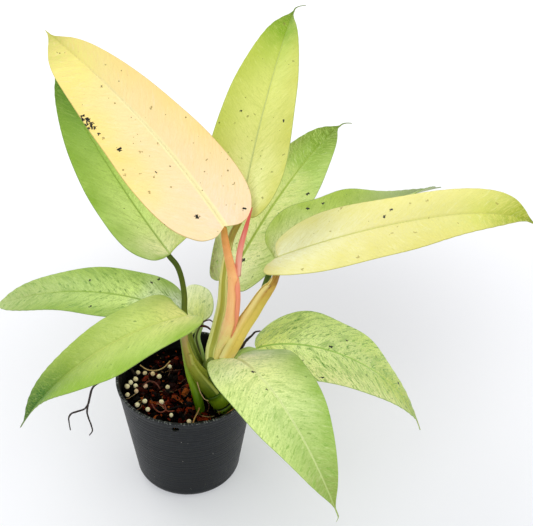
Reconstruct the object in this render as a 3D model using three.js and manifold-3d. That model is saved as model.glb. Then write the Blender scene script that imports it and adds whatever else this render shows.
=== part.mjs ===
// Potted whipple way philodendron: a nursery pot of husk mix with one stem, eleven leaves and its aerial roots.
// Millimetres, +Z up. The origin is the centre of the pot's underside.
// +X is the photo's right and -Y faces the viewer.
// Leaves are numbered from the newest to the oldest.
import * as THREE from "three";
import { mergeVertices } from "three/addons/utils/BufferGeometryUtils.js";
import manifoldModule from "manifold-3d";

const wasm = await manifoldModule();
wasm.setup();

const { degToRad, lerp, clamp } = THREE.MathUtils;

// Driving dimensions
const gap = 0.3; // between neighbours that touch on the real plant

const pot = {
  height: 88,
  rimRadius: 51,
  bottomRadius: 38.6, // where the bottom's rounding meets the wall
  cornerRadius: 9,
  wall: 1.5,
  floor: 2,
  lipHeight: 4,
  lipStep: 0.7,
  segments: 44,
};
const hangingHole = { diameter: 5, belowRim: 6, count: 3, firstAngle: -95 };
const drainHole = { diameter: 6, radius: 22, count: 8 };
const holes = { depth: 9, sides: 12 };

const soil = { top: 75, roughness: 1.6, rings: 7, sectors: 28 };
const ripples = { across: 6.5, along: 5.5, slanting: 11 };
const huskChips = {
  count: 38,
  length: [4, 11],
  width: [3, 6],
  thickness: 2.4,
  tilt: 40, // degrees, the most that a chip leans either way
  lift: 1.5, // how high the topmost ones lie over the bed
  seed: 5,
};
const pellets = { diameter: 3.6, lift: [1, 2.4], seed: 8 };
// Where the fertiliser pellets lie on the mix: mostly at the left, as they were strewn
const pelletPlaces = [
  [-37, 16],
  [-32, 16],
  [-38, 8],
  [-41, 3],
  [-43, -2],
  [-37, -1],
  [-36, -6],
  [-30, 0],
  [-42, -10],
  [-29, -16],
  [-34, -20],
  [-26, -25],
  [-26, 14],
  [-21, 11],
  [-17, -17],
  [-14, 1],
  [-14, 21],
  [-9, -30],
  [4, -36],
  [26, 24],
  [8, 36],
  [34, 10],
];

const stem = {
  path: [
    [31, -17, 52],
    [29.5, -18, 72],
    [24.5, -17.5, 82],
    [19, -15, 91],
    [18.5, -10, 102],
    [19.5, -6.5, 113],
  ],
  radii: [6.5, 7, 7.2, 7.2, 7.2, 5],
};

const blade = {
  thickness: 0.8,
  midribDepth: 1.7, // how far the midrib stands out below the blade at its foot
  columns: [0, 0.08, 0.36, 0.68, 1], // shares of the half width, from the midrib to the margin
};
// The outline of every blade, as shares of its length and of its half width: where a side vein leaves the midrib,
// how far along it meets the margin, how far out, and how much of the lobe's reach it takes back
const outline = [
  { foot: 0, along: 0, out: 0, back: 0 },
  { foot: 0.01, along: 0, out: 0.1, back: 0.35 },
  { foot: 0.02, along: 0.002, out: 0.26, back: 0.85 },
  { foot: 0.032, along: 0.006, out: 0.44, back: 1 },
  { foot: 0.042, along: 0.014, out: 0.58, back: 0.95 },
  { foot: 0.055, along: 0.03, out: 0.71, back: 0.75 },
  { foot: 0.075, along: 0.052, out: 0.825, back: 0.5 },
  { foot: 0.105, along: 0.082, out: 0.915, back: 0.28 },
  { foot: 0.15, along: 0.125, out: 0.98, back: 0.1 },
  { foot: 0.21, along: 0.18, out: 1.015, back: 0 },
  { foot: 0.3, along: 0.27, out: 1.01, back: 0 },
  { foot: 0.39, along: 0.375, out: 0.975, back: 0 },
  { foot: 0.49, along: 0.48, out: 0.91, back: 0 },
  { foot: 0.59, along: 0.585, out: 0.825, back: 0 },
  { foot: 0.69, along: 0.687, out: 0.715, back: 0 },
  { foot: 0.78, along: 0.779, out: 0.6, back: 0 },
  { foot: 0.855, along: 0.855, out: 0.48, back: 0 },
  { foot: 0.91, along: 0.91, out: 0.345, back: 0 },
  { foot: 0.95, along: 0.95, out: 0.18, back: 0 },
  { foot: 0.975, along: 0.975, out: 0.065, back: 0 },
  { foot: 1, along: 1, out: 0, back: 0 },
];
const taperStart = 0.4; // share of the length where a blade's taper begins
const tipWidth = 0.014; // least share of the half width, in the tip
const margins = { waves: 2.5, shift: 0.2 }; // waves along a margin, and how far the two margins' waves are shifted
const midribSteps = 60;

// One entry for each leaf, in millimetres and degrees.
// at: where the petiole joins the blade. skew: the share of the width that the right half has more than the left.
// heading: from +X towards +Y, pitch: above the horizon. turn and droop: how much these change by the tip, droop
// later than evenly where late is over 1. roll and twist: the blade's turn about its midrib at the foot, and the
// further turn by the tip. fold: how far each half rises, lean: the part of it that differs between the halves,
// curl: how much steeper the margin is.
// taper, belly and lobes are for the left and the right half: how much narrower the far part is, how much wider the
// middle is, and how far the foot's lobe reaches back as a share of the length. wave: height of the margin's waves.
// petiole: its path from the stem to the blade, with its radii.
const leaves = [
  {
    name: "01",
    colours: { blade: 0xf3dda0, petiole: 0xe8a37a },
    at: [28, -5, 223],
    size: { length: 184, width: 71, skew: -0.12 },
    aim: { heading: 129.2, pitch: 28.6, turn: 20.9, droop: -3.3, late: 1.3 },
    tilt: { roll: 8, twist: 37.6, fold: 16.8, lean: -2.5, curl: -12.5 },
    margin: {
      taper: [-0.18, 0.24],
      belly: [-0.01, -0.11],
      lobes: [0.036, 0.026],
      wave: 0.8,
    },
    petiole: {
      path: [
        [21.5, -7.5, 106],
        [22.5, -9.5, 114.5],
        [25.5, -11, 125],
        [28, -12, 134],
        [31, -13, 145.5],
        [33.2, -13.2, 155],
        [34.5, -12, 171],
        [33.9, -10, 186],
        [30.9, -8, 200.3],
        [28.5, -6, 214],
        [28, -5, 221.5],
      ],
      radii: [2.4, 2.4, 3, 4, 4.8, 4.6, 4.4, 3.7, 2.9, 2.5, 2.2],
    },
  },
  {
    name: "02",
    colours: { blade: 0x9cc25f, petiole: 0x6f8a35 },
    at: [-10, 13, 186.5],
    size: { length: 167, width: 62, skew: -0.01 },
    aim: { heading: 128.5, pitch: 19.2, turn: -0.1, droop: 20.6, late: 1.19 },
    tilt: { roll: 1.2, twist: 6.4, fold: 19.8, lean: -1.7, curl: -12.3 },
    margin: {
      taper: [0.57, 0.3],
      belly: [0, 0],
      lobes: [0.021, -0.014],
      wave: 0.8,
    },
    petiole: {
      path: [
        [17, -3, 92],
        [11.5, -3, 100],
        [6, 0, 112],
        [3, 3, 121.5],
        [-0.5, 6.5, 141],
        [-0.5, 8.5, 154.3],
        [-2.5, 10.5, 169.3],
        [-5.5, 12, 178],
        [-9.6, 13, 185.3],
      ],
      radii: [3, 3, 2.6, 2.3, 2.1, 2, 1.9, 1.9, 2],
    },
  },
  {
    name: "03",
    colours: { blade: 0xc3d672, petiole: 0x9aa050 },
    at: [38, 14, 220],
    size: { length: 160, width: 60, skew: -0.05 },
    aim: { heading: 76.5, pitch: 43.6, turn: -2.8, droop: -22.1, late: 1.3 },
    tilt: { roll: 17.9, twist: -15.2, fold: 15.9, lean: 1.9, curl: -12.6 },
    margin: {
      taper: [0.05, 0.61],
      belly: [0.02, -0.03],
      lobes: [0.02, 0.023],
      wave: 0.6,
    },
    petiole: {
      path: [
        [18, -8, 104],
        [18.5, -6.5, 119],
        [20.5, -3, 126],
        [23.5, 1, 138.5],
        [26, 4.5, 151.5],
        [27, 9, 172.5],
        [31.8, 12, 201.6],
        [37, 14, 218],
      ],
      radii: [3.6, 3.9, 4, 3.9, 3.7, 2.9, 2.4, 2.2],
    },
  },
  {
    name: "04",
    colours: { blade: 0xbdd597, petiole: 0x9fb254 },
    at: [32.5, 42, 150.5],
    size: { length: 146, width: 59, skew: 0.01 },
    aim: { heading: 50.7, pitch: 43.2, turn: 3.8, droop: -37.8, late: 1.3 },
    tilt: { roll: 5, twist: -17.7, fold: 7, lean: 1.2, curl: -12.9 },
    margin: {
      taper: [0.08, 0.64],
      belly: [0.03, -0.04],
      lobes: [0.085, 0.077],
      wave: 1,
    },
    petiole: {
      path: [
        [20, -2, 96],
        [20.5, 3, 106],
        [24, 12.5, 117],
        [28, 24, 131],
        [31, 34, 142],
        [32.4, 41.5, 148.6],
      ],
      radii: [3.2, 3.2, 2.8, 2.4, 2.1, 2],
    },
  },
  {
    name: "05",
    colours: { blade: 0xe8e58c, petiole: 0xcbb571 },
    at: [63.5, -1.5, 196.5],
    size: { length: 177, width: 62, skew: 0.01 },
    aim: { heading: 0.6, pitch: 25.3, turn: -36.1, droop: -30.3, late: 7.02 },
    tilt: { roll: 0.6, twist: -38.9, fold: 10.8, lean: 1.2, curl: -14.7 },
    margin: {
      taper: [-0.1, 0.57],
      belly: [-0.22, -0.01],
      lobes: [0.01, 0.059],
      wave: 0.8,
    },
    petiole: {
      path: [
        [26.5, -13, 109],
        [29.5, -14, 118.5],
        [33.5, -13.5, 127],
        [41, -11, 144],
        [47, -9, 154],
        [52, -7, 163],
        [56.5, -5.5, 170],
        [60, -4, 175],
        [62.5, -3, 181.5],
        [63.3, -1.6, 195],
      ],
      radii: [4, 4.8, 5.4, 5.8, 5.5, 5.2, 4.6, 3.4, 2.6, 2.3],
    },
  },
  {
    name: "06",
    colours: { blade: 0xaecb74, petiole: 0x5f7d2f },
    at: [62, 12.5, 184.5],
    size: { length: 156, width: 56, skew: -0.01 },
    aim: { heading: 32.9, pitch: 19.1, turn: 10.2, droop: -35.2, late: 0.84 },
    tilt: { roll: -0.5, twist: 33.1, fold: 10.8, lean: 0.5, curl: 7.1 },
    margin: {
      taper: [0.56, 0.18],
      belly: [0.25, 0],
      lobes: [-0.006, 0.03],
      wave: 1.2,
    },
    petiole: {
      path: [
        [23, -3, 100],
        [28, -1, 112],
        [38.5, 2.5, 127],
        [48, 5, 148.5],
        [53.5, 7, 159],
        [56, 8.5, 167],
        [58, 10.5, 173],
        [60.5, 12.5, 181],
      ],
      radii: [3.4, 3.3, 2.9, 2.6, 2.4, 2.2, 2.1, 2],
    },
  },
  {
    name: "07",
    colours: { blade: 0xa9cb6b, petiole: 0xcbb488 },
    at: [3.5, -13.5, 154.5],
    size: { length: 149, width: 64, skew: 0.02 },
    aim: { heading: 203.4, pitch: 6, turn: -19.1, droop: -67.3, late: 0.76 },
    tilt: { roll: -6.8, twist: 20.1, fold: 19.9, lean: -2.6, curl: -29.5 },
    margin: {
      taper: [2.58, 0.43],
      belly: [0.16, -0.27],
      lobes: [0.042, -0.028],
      wave: 1,
    },
    petiole: {
      path: [
        [20, -17.5, 89.5],
        [16, -17.5, 96],
        [11, -17, 103.5],
        [6, -16, 112],
        [3, -15, 121.5],
        [1, -14.5, 132.5],
        [1, -14, 143],
        [3, -13.5, 153],
      ],
      radii: [6.6, 6.3, 5.3, 4.2, 3, 2.4, 2.3, 2.2],
    },
  },
  {
    name: "08",
    colours: { blade: 0xb6d494, petiole: 0x7fae3f },
    at: [-6.5, 19, 130],
    size: { length: 144, width: 52, skew: 0.01 },
    aim: { heading: 171.9, pitch: 27.2, turn: 0.1, droop: -57.8, late: 0.77 },
    tilt: { roll: 1.4, twist: 10.3, fold: 8.6, lean: -0.5, curl: -6.2 },
    margin: {
      taper: [0.07, 0.27],
      belly: [0.01, -0.03],
      lobes: [0.035, 0.024],
      wave: 1,
    },
    petiole: {
      path: [
        [11.5, -22, 72],
        [10, -20.5, 81.5],
        [7.5, -17, 90.5],
        [4, -12, 98.5],
        [1.5, -6, 106],
        [-1, 2, 116],
        [-3.5, 10, 122],
        [-5.5, 18, 127],
      ],
      radii: [3.2, 3.5, 3.4, 3.1, 2.8, 2.5, 2.2, 2.1],
    },
  },
  {
    name: "09",
    colours: { blade: 0xbbd89e, petiole: 0x9cc053 },
    at: [8.5, 23, 119],
    size: { length: 115, width: 43, skew: 0 },
    aim: { heading: 115, pitch: -10.1, turn: -0.7, droop: -53.5, late: 0.94 },
    tilt: { roll: 36.9, twist: -0.8, fold: 8.9, lean: 0.9, curl: -13.2 },
    margin: {
      taper: [0.1, 0.1],
      belly: [0, -0.01],
      lobes: [0.054, 0.058],
      wave: 0.8,
    },
    petiole: {
      path: [
        [19, -4, 84],
        [13, -1, 97.5],
        [10, 6, 106],
        [7.5, 13, 113.5],
        [8, 21.5, 117.5],
      ],
      radii: [2.6, 2.6, 2.4, 2.1, 1.9],
    },
  },
  {
    name: "10",
    colours: { blade: 0xabc986, petiole: 0xa4c46c },
    at: [50, 3, 112],
    size: { length: 153, width: 70, skew: -0.04 },
    aim: { heading: -14.8, pitch: 37.8, turn: 13.1, droop: -110, late: 0.78 },
    tilt: { roll: -1.9, twist: 12.4, fold: 1.1, lean: -0.5, curl: -6.7 },
    margin: {
      taper: [0.52, 0.83],
      belly: [0.19, 0],
      lobes: [0.035, 0.03],
      wave: 1.2,
    },
    petiole: {
      path: [
        [24, -9, 88],
        [29, -10, 100],
        [34, -8.5, 110],
        [39, -5, 114],
        [44.5, -1, 114.5],
        [49, 2.5, 112.3],
      ],
      radii: [3.4, 3.2, 2.8, 2.4, 2.2, 2.1],
    },
  },
  {
    name: "11",
    colours: { blade: 0xbfd67d, petiole: 0xa4c46c },
    at: [37, -25, 126.5],
    size: { length: 157, width: 58, skew: -0.05 },
    aim: { heading: -64.8, pitch: 31, turn: 1.4, droop: -65.1, late: 0.96 },
    tilt: { roll: 1.3, twist: -21.6, fold: 7.2, lean: 0.9, curl: -9.6 },
    margin: {
      taper: [0.7, 0.76],
      belly: [-0.02, 0.08],
      lobes: [0.065, 0.048],
      wave: 1,
    },
    petiole: {
      path: [
        [25, -16, 92],
        [27.5, -19, 104],
        [31, -22, 116],
        [35.8, -24.7, 124.8],
      ],
      radii: [3.6, 3.2, 2.6, 2.2],
    },
  },
];

// The rolled next leaf, which stands in the newest petiole's sheath
const leafSpike = {
  path: [
    [36.8, -6, 184],
    [38.5, -5.5, 205],
    [42.2, -4.5, 221.8],
    [46, -3.5, 237],
  ],
  radii: [2.3, 2.1, 1.6, 0.5],
};

const roots = {
  root_back: [
    {
      path: [
        [9.5, 17.5, 120],
        [11.5, 17, 120.5],
        [14.5, 16.5, 120],
        [17, 16, 118],
      ],
      radii: [0.9, 0.9, 0.8, 0.6],
    },
    {
      path: [
        [9.5, 17.5, 120],
        [11.5, 18, 123],
        [14, 19, 124],
        [16.5, 19.5, 124],
        [19, 19, 122],
      ],
      radii: [0.5, 0.5, 0.5, 0.5, 0.4],
    },
  ],
  root_left: [
    {
      path: [
        [-38, 14, 71],
        [-42.5, 15, 82],
        [-46, 15.5, 90],
        [-50.5, 14.5, 90],
        [-54.5, 9, 86.5],
        [-59, 4, 81],
        [-68, 0, 75],
        [-71.5, 0, 64],
        [-73, 0, 58],
        [-76, 0, 53],
        [-82, 0, 50],
        [-86, 0, 48],
        [-88.3, 0, 44],
        [-88.6, 0, 39],
        [-88.2, 0, 31],
      ],
      radii: [1, 1, 1, 1, 1, 0.9, 0.8, 0.8, 0.8, 0.7, 0.7, 0.7, 0.6, 0.5, 0.4],
    },
    {
      path: [
        [-73, 0, 58],
        [-74.3, -0.5, 50],
        [-73.4, -1, 44],
        [-72, -1, 37],
        [-71.7, -0.5, 31],
        [-74.3, 0, 26],
      ],
      radii: [0.7, 0.7, 0.6, 0.6, 0.5, 0.4],
    },
  ],
  root_right: [
    {
      path: [
        [27, -8, 103],
        [31, -2.5, 108],
        [38.5, 1, 116],
        [41.5, 3, 119],
        [46.5, 6, 121.5],
        [49, 9, 122.5],
        [52.5, 12, 121],
      ],
      radii: [1, 0.9, 0.8, 0.8, 0.7, 0.6, 0.5],
    },
  ],
};

const colours = { pot: 0x2e2f31, soil: 0x40201a, stem: 0x6f9a34, spike: 0xe8836f, root: 0x4a2f22 };
const roughness = { pot: 0.5, soil: 0.95, stalk: 0.45, blade: 0.4, root: 0.8 };

// Solids from three.js geometry, and back
function solidOf(geometry) {
  const bare = new THREE.BufferGeometry();
  bare.setAttribute("position", geometry.getAttribute("position").clone());
  if (geometry.index) bare.setIndex(geometry.index.clone());
  const merged = mergeVertices(bare, 1e-3);
  const mesh = new wasm.Mesh({
    numProp: 3,
    vertProperties: new Float32Array(merged.getAttribute("position").array),
    triVerts: new Uint32Array(merged.index.array),
  });
  return new wasm.Manifold(mesh);
}

function geometryOf(solid) {
  const mesh = solid.getMesh();
  const geometry = new THREE.BufferGeometry();
  geometry.setAttribute("position", new THREE.BufferAttribute(mesh.vertProperties, 3));
  geometry.setIndex(new THREE.BufferAttribute(mesh.triVerts, 1));
  geometry.computeVertexNormals();
  return geometry;
}

// A cut can leave slivers beside the piece itself: only the largest body is kept
function largestBody(solid) {
  const bodies = solid.decompose();
  return bodies.reduce((best, body) => (body.volume() > best.volume() ? body : best));
}

function clearOf(solid, neighbours) {
  return largestBody(neighbours.reduce((left, tool) => left.subtract(tool), solid));
}

// A repeatable stream of numbers from 0 to 1 (the mulberry32 generator)
function randomFrom(seed) {
  let state = seed;
  return () => {
    state = (state + 0x6d2b79f5) | 0;
    let mixed = Math.imul(state ^ (state >>> 15), 1 | state);
    mixed = (mixed + Math.imul(mixed ^ (mixed >>> 7), 61 | mixed)) ^ mixed;
    return ((mixed ^ (mixed >>> 14)) >>> 0) / 4294967296;
  };
}

// A closed mesh from rings of equal size, with a point at each end
function ringedGeometry(rings, first, last) {
  const size = rings[0].length;
  const points = [first, ...rings.flat(), last];
  const end = points.length - 1;
  const at = (ring, i) => 1 + ring * size + (i % size);
  const faces = [];
  for (let i = 0; i < size; i += 1) {
    faces.push(0, at(0, i + 1), at(0, i));
    for (let ring = 0; ring < rings.length - 1; ring += 1) {
      faces.push(at(ring, i), at(ring, i + 1), at(ring + 1, i));
      faces.push(at(ring + 1, i), at(ring, i + 1), at(ring + 1, i + 1));
    }
    faces.push(end, at(rings.length - 1, i), at(rings.length - 1, i + 1));
  }
  const geometry = new THREE.BufferGeometry().setFromPoints(points);
  geometry.setIndex(faces);
  return geometry;
}

// A round tube of changing radius along a smooth path
function tube({ path, radii }, { sides = 8, stepsPerSpan = 2, grow = 0 } = {}) {
  const points = path.map((p) => new THREE.Vector3(...p));
  const curve = new THREE.CatmullRomCurve3(points, false, "centripetal");
  const spans = path.length - 1;
  const steps = spans * stepsPerSpan;
  const rings = [];
  let across = new THREE.Vector3(1, 0, 0);
  for (let step = 0; step <= steps; step += 1) {
    const share = step / steps;
    const centre = curve.getPoint(share);
    const along = curve.getTangent(share);
    across = across.clone().addScaledVector(along, -across.dot(along)).normalize();
    const other = new THREE.Vector3().crossVectors(along, across);
    const span = Math.min(Math.floor(share * spans), spans - 1);
    const radius = lerp(radii[span], radii[span + 1], share * spans - span) + grow;
    rings.push(
      Array.from({ length: sides }, (_, i) => {
        const angle = (2 * Math.PI * i) / sides;
        const point = centre.clone().addScaledVector(across, radius * Math.cos(angle));
        return point.addScaledVector(other, radius * Math.sin(angle));
      }),
    );
  }
  const outwards = curve.getTangent(1).multiplyScalar(grow);
  const inwards = curve.getTangent(0).multiplyScalar(-grow);
  const first = curve.getPoint(0).add(inwards);
  const last = curve.getPoint(1).add(outwards);
  return solidOf(ringedGeometry(rings, first, last));
}

// The midrib's points and frames, from the foot to the tip
function midribOf({ at, size, aim, tilt }) {
  const frames = [];
  const here = new THREE.Vector3(...at);
  for (let step = 0; step <= midribSteps; step += 1) {
    const share = step / midribSteps;
    const heading = degToRad(aim.heading + aim.turn * share);
    const pitch = degToRad(aim.pitch + aim.droop * share ** aim.late);
    const along = new THREE.Vector3(
      Math.cos(pitch) * Math.cos(heading),
      Math.cos(pitch) * Math.sin(heading),
      Math.sin(pitch),
    );
    const right = new THREE.Vector3(Math.sin(heading), -Math.cos(heading), 0);
    right.applyAxisAngle(along, degToRad(-tilt.roll - tilt.twist * share));
    const up = new THREE.Vector3().crossVectors(right, along);
    if (step > 0) {
      const middle = frames[step - 1].along.clone().add(along).multiplyScalar(size.length / midribSteps / 2);
      here.add(middle);
    }
    frames.push({ point: here.clone(), along, right, up });
  }
  return frames;
}

// A point of the blade and its normal, from its share of the length and its signed share of the half width
function bladePoint(leaf, frames, along, out) {
  const place = clamp(along, 0, 1) * midribSteps;
  const index = Math.min(Math.floor(place), midribSteps - 1);
  const part = place - index;
  const mix = (key) => frames[index][key].clone().lerp(frames[index + 1][key], part);
  const side = Math.sign(out);
  const half = (leaf.size.width / 2) * (1 + leaf.size.skew * side);
  const fold = degToRad(leaf.tilt.fold + leaf.tilt.lean * side);
  const curl = degToRad(leaf.tilt.curl);
  const slope = fold + curl * Math.abs(out);
  const sideways = (half * (Math.sin(slope) - Math.sin(fold))) / curl;
  const phase = 2 * Math.PI * (margins.waves * along + margins.shift * side);
  const wave = leaf.margin.wave * Math.sin(phase) * out * out;
  const upwards = (half * (Math.cos(fold) - Math.cos(slope))) / curl + wave;
  const right = mix("right");
  const up = mix("up");
  const point = mix("point");
  point.addScaledVector(frames[0].along, Math.min(along, 0) * leaf.size.length);
  point.addScaledVector(right, sideways * side).addScaledVector(up, upwards);
  const normal = up.multiplyScalar(Math.cos(slope)).addScaledVector(right, -Math.sin(slope) * side);
  normal.normalize();
  return { point, normal };
}

// The share of the half width that one half of a blade has at a row of the outline
function reachOf(leaf, { along, out }, half) {
  const { taper, belly } = leaf.margin;
  const far = clamp((along - taperStart) / (1 - taperStart), 0, 1);
  const widened = 1 + belly[half] * Math.sin(Math.PI * along) ** 2;
  return Math.max(out ** (1 + taper[half] * far) * widened, tipWidth);
}

// A blade as one closed sheet: its two faces are split alike, and the lower one stands out along the midrib
function bladeSolid(leaf, grow = 0) {
  const frames = midribOf(leaf);
  const shares = [...blade.columns.slice(1).reverse().map((c) => -c), ...blade.columns];
  const places = outline.slice(1, -1).map((row) =>
    shares.map((share) => {
      const side = share < 0 ? 0 : 1;
      const meets = row.along - row.back * leaf.margin.lobes[side];
      return {
        along: lerp(row.foot, meets, Math.abs(share)),
        out: reachOf(leaf, row, side) * share,
        onMidrib: share === 0,
      };
    }),
  );
  const half = blade.thickness / 2 + grow;
  const faces = ({ along, out, onMidrib }) => {
    const { point, normal } = bladePoint(leaf, frames, along, out);
    const depth = onMidrib ? half + blade.midribDepth * (1 - along) : half;
    return [point.clone().addScaledVector(normal, half), point.clone().addScaledVector(normal, -depth)];
  };
  const foot = faces({ along: -grow / leaf.size.length, out: 0, onMidrib: true });
  const tip = faces({ along: 1 + grow / leaf.size.length, out: 0, onMidrib: true });
  const rows = places.map((row) => row.map(faces));
  const points = [...foot, ...tip, ...rows.flat(2)];
  const columns = shares.length;
  const ends = 4; // the points of the foot and the tip come first
  const at = (row, column, face) => ends + 2 * (row * columns + column) + face;
  const triangles = [];
  const both = (a, b, c) => {
    triangles.push(a, b, c);
    triangles.push(a + 1, c + 1, b + 1);
  };
  const last = rows.length - 1;
  for (let column = 0; column < columns - 1; column += 1) {
    both(0, at(0, column + 1, 0), at(0, column, 0));
    both(2, at(last, column, 0), at(last, column + 1, 0));
    for (let row = 0; row < last; row += 1) {
      both(at(row, column, 0), at(row, column + 1, 0), at(row + 1, column, 0));
      both(at(row + 1, column, 0), at(row, column + 1, 0), at(row + 1, column + 1, 0));
    }
  }
  const edge = (from, to) => triangles.push(from, to, to + 1, from, to + 1, from + 1);
  for (let row = 0; row < last; row += 1) {
    edge(at(row, 0, 0), at(row + 1, 0, 0));
    edge(at(row + 1, columns - 1, 0), at(row, columns - 1, 0));
  }
  edge(0, at(0, 0, 0));
  edge(at(0, columns - 1, 0), 0);
  edge(at(last, 0, 0), 2);
  edge(2, at(last, columns - 1, 0));
  const geometry = new THREE.BufferGeometry().setFromPoints(points);
  geometry.setIndex(triangles);
  return solidOf(geometry);
}

// The wall's outer radius at a height
function potRadius(height) {
  const share = (height - pot.cornerRadius) / (pot.height - pot.cornerRadius);
  return lerp(pot.bottomRadius, pot.rimRadius - pot.lipStep, share);
}

function turned(profile, segments) {
  const points = profile.map(([radius, height]) => new THREE.Vector2(radius, height));
  return solidOf(new THREE.LatheGeometry(points, segments).rotateX(Math.PI / 2));
}

function holeAt(angle, radius, height, diameter, lying) {
  const drill = new THREE.CylinderGeometry(diameter / 2, diameter / 2, holes.depth, holes.sides);
  if (lying) drill.rotateZ(Math.PI / 2);
  else drill.rotateX(Math.PI / 2);
  drill.translate(radius, 0, height).rotateZ(degToRad(angle));
  return solidOf(drill);
}

function potSolid() {
  const corner = new THREE.EllipseCurve(
    potRadius(pot.cornerRadius) - pot.cornerRadius,
    pot.cornerRadius,
    pot.cornerRadius,
    pot.cornerRadius,
    -Math.PI / 2,
    0,
  );
  const lipFoot = pot.height - pot.lipHeight;
  const inner = (height) => potRadius(height) - pot.wall;
  const profile = [
    [0, 0],
    ...corner.getPoints(3).map((p) => [p.x, p.y]),
    [potRadius(lipFoot), lipFoot],
    [potRadius(lipFoot) + pot.lipStep, lipFoot + pot.lipStep],
    [pot.rimRadius, pot.height],
    [inner(pot.height), pot.height],
    [inner(pot.cornerRadius + pot.floor), pot.cornerRadius + pot.floor],
    [inner(pot.cornerRadius) - pot.cornerRadius / 2, pot.floor],
    [0, pot.floor],
  ];
  const drains = Array.from({ length: drainHole.count }, (_, i) =>
    holeAt((360 * i) / drainHole.count, drainHole.radius, 0, drainHole.diameter, false),
  );
  const hangers = Array.from({ length: hangingHole.count }, (_, i) => {
    const height = pot.height - hangingHole.belowRim;
    const angle = hangingHole.firstAngle + (360 * i) / hangingHole.count;
    return holeAt(angle, potRadius(height), height, hangingHole.diameter, true);
  });
  const body = turned(profile, pot.segments);
  return [...drains, ...hangers].reduce((left, hole) => left.subtract(hole), body);
}

// The uneven top of the potting mix: two sets of ripples
function soilHeight(x, y) {
  const { across, along, slanting } = ripples;
  const ripple = Math.sin(x / across + 1) * Math.cos(y / along) + Math.sin((x + y) / slanting);
  return soil.top + (soil.roughness * ripple) / 2;
}

function soilPlug() {
  const floor = pot.floor + gap;
  const inner = (height) => potRadius(height) - pot.wall - gap;
  return turned(
    [
      [0, floor],
      [inner(pot.cornerRadius) - pot.cornerRadius / 2 - gap, floor],
      [inner(pot.cornerRadius + pot.floor), pot.cornerRadius + pot.floor + gap],
      [inner(pot.height), pot.height],
      [0, pot.height],
    ],
    pot.segments,
  );
}

function soilBed() {
  const point = (radius, sector, height) => {
    const angle = (2 * Math.PI * sector) / soil.sectors;
    const x = radius * Math.cos(angle);
    const y = radius * Math.sin(angle);
    return new THREE.Vector3(x, y, height ?? soilHeight(x, y));
  };
  const ring = (radius, height) => Array.from({ length: soil.sectors }, (_, i) => point(radius, i, height));
  const rings = [ring(pot.rimRadius, 0)];
  for (let i = soil.rings; i > 0; i -= 1) rings.push(ring((pot.rimRadius * i) / soil.rings));
  return solidOf(ringedGeometry(rings, new THREE.Vector3(0, 0, 0), point(0, 0)));
}

function huskChip(random) {
  const { length, width, thickness, tilt, lift } = huskChips;
  const size = [lerp(...length, random()), lerp(...width, random()), thickness];
  const lean = () => degToRad(tilt) * lerp(-1, 1, random());
  const angle = 2 * Math.PI * random();
  const radius = (pot.rimRadius - 3 * pot.wall) * Math.sqrt(random());
  const x = radius * Math.cos(angle);
  const y = radius * Math.sin(angle);
  const chip = new THREE.BoxGeometry(...size);
  chip.rotateX(lean()).rotateY(lean()).rotateZ(Math.PI * random());
  return solidOf(chip.translate(x, y, soilHeight(x, y) + lift * random()));
}

function pellet([x, y], random) {
  const ball = new THREE.OctahedronGeometry(pellets.diameter / 2, 1);
  return solidOf(ball.translate(x, y, soilHeight(x, y) + lerp(...pellets.lift, random())));
}

function soilSolid() {
  const random = randomFrom(huskChips.seed);
  const chips = Array.from({ length: huskChips.count }, () => huskChip(random));
  const strewn = randomFrom(pellets.seed);
  const balls = pelletPlaces.map((place) => pellet(place, strewn));
  const heap = [...chips, ...balls].reduce((bed, piece) => bed.add(piece), soilBed());
  return heap.intersect(soilPlug());
}

function rootSolid(strands, grow = 0) {
  const tubes = strands.map((strand) => tube(strand, { sides: 6, grow }));
  return tubes.reduce((all, strand) => all.add(strand));
}

function meshOf(name, solid, colour, finish) {
  const material = new THREE.MeshStandardMaterial({ color: colour, roughness: finish, metalness: 0 });
  const mesh = new THREE.Mesh(geometryOf(solid), material);
  mesh.name = name;
  return mesh;
}

const plant = new THREE.Group();
const grown = []; // what later pieces keep clear of, each enlarged by the gap

function addTube(name, shape, colour, options = {}, extra = []) {
  const solid = clearOf(tube(shape, options), [...grown, ...extra]);
  grown.push(tube(shape, { ...options, grow: gap }));
  plant.add(meshOf(name, solid, colour, roughness.stalk));
}

addTube("stem", stem, colours.stem, { sides: 14 });
for (const leaf of leaves) {
  const { name, petiole, colours: own } = leaf;
  addTube(`petiole_${name}`, petiole, own.petiole, {}, [bladeSolid(leaf, gap)]);
}
addTube("leaf_spike", leafSpike, colours.spike);
for (const leaf of leaves) {
  plant.add(meshOf(`blade_${leaf.name}`, bladeSolid(leaf), leaf.colours.blade, roughness.blade));
}
for (const [name, strands] of Object.entries(roots)) {
  plant.add(meshOf(name, clearOf(rootSolid(strands), grown), colours.root, roughness.root));
  grown.push(rootSolid(strands, gap));
}
plant.add(meshOf("potting_mix", clearOf(soilSolid(), grown), colours.soil, roughness.soil));
plant.add(meshOf("pot", potSolid(), colours.pot, roughness.pot));

export default plant;
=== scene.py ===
import math

import bpy
import numpy as np
from mathutils import Matrix, Vector


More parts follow.
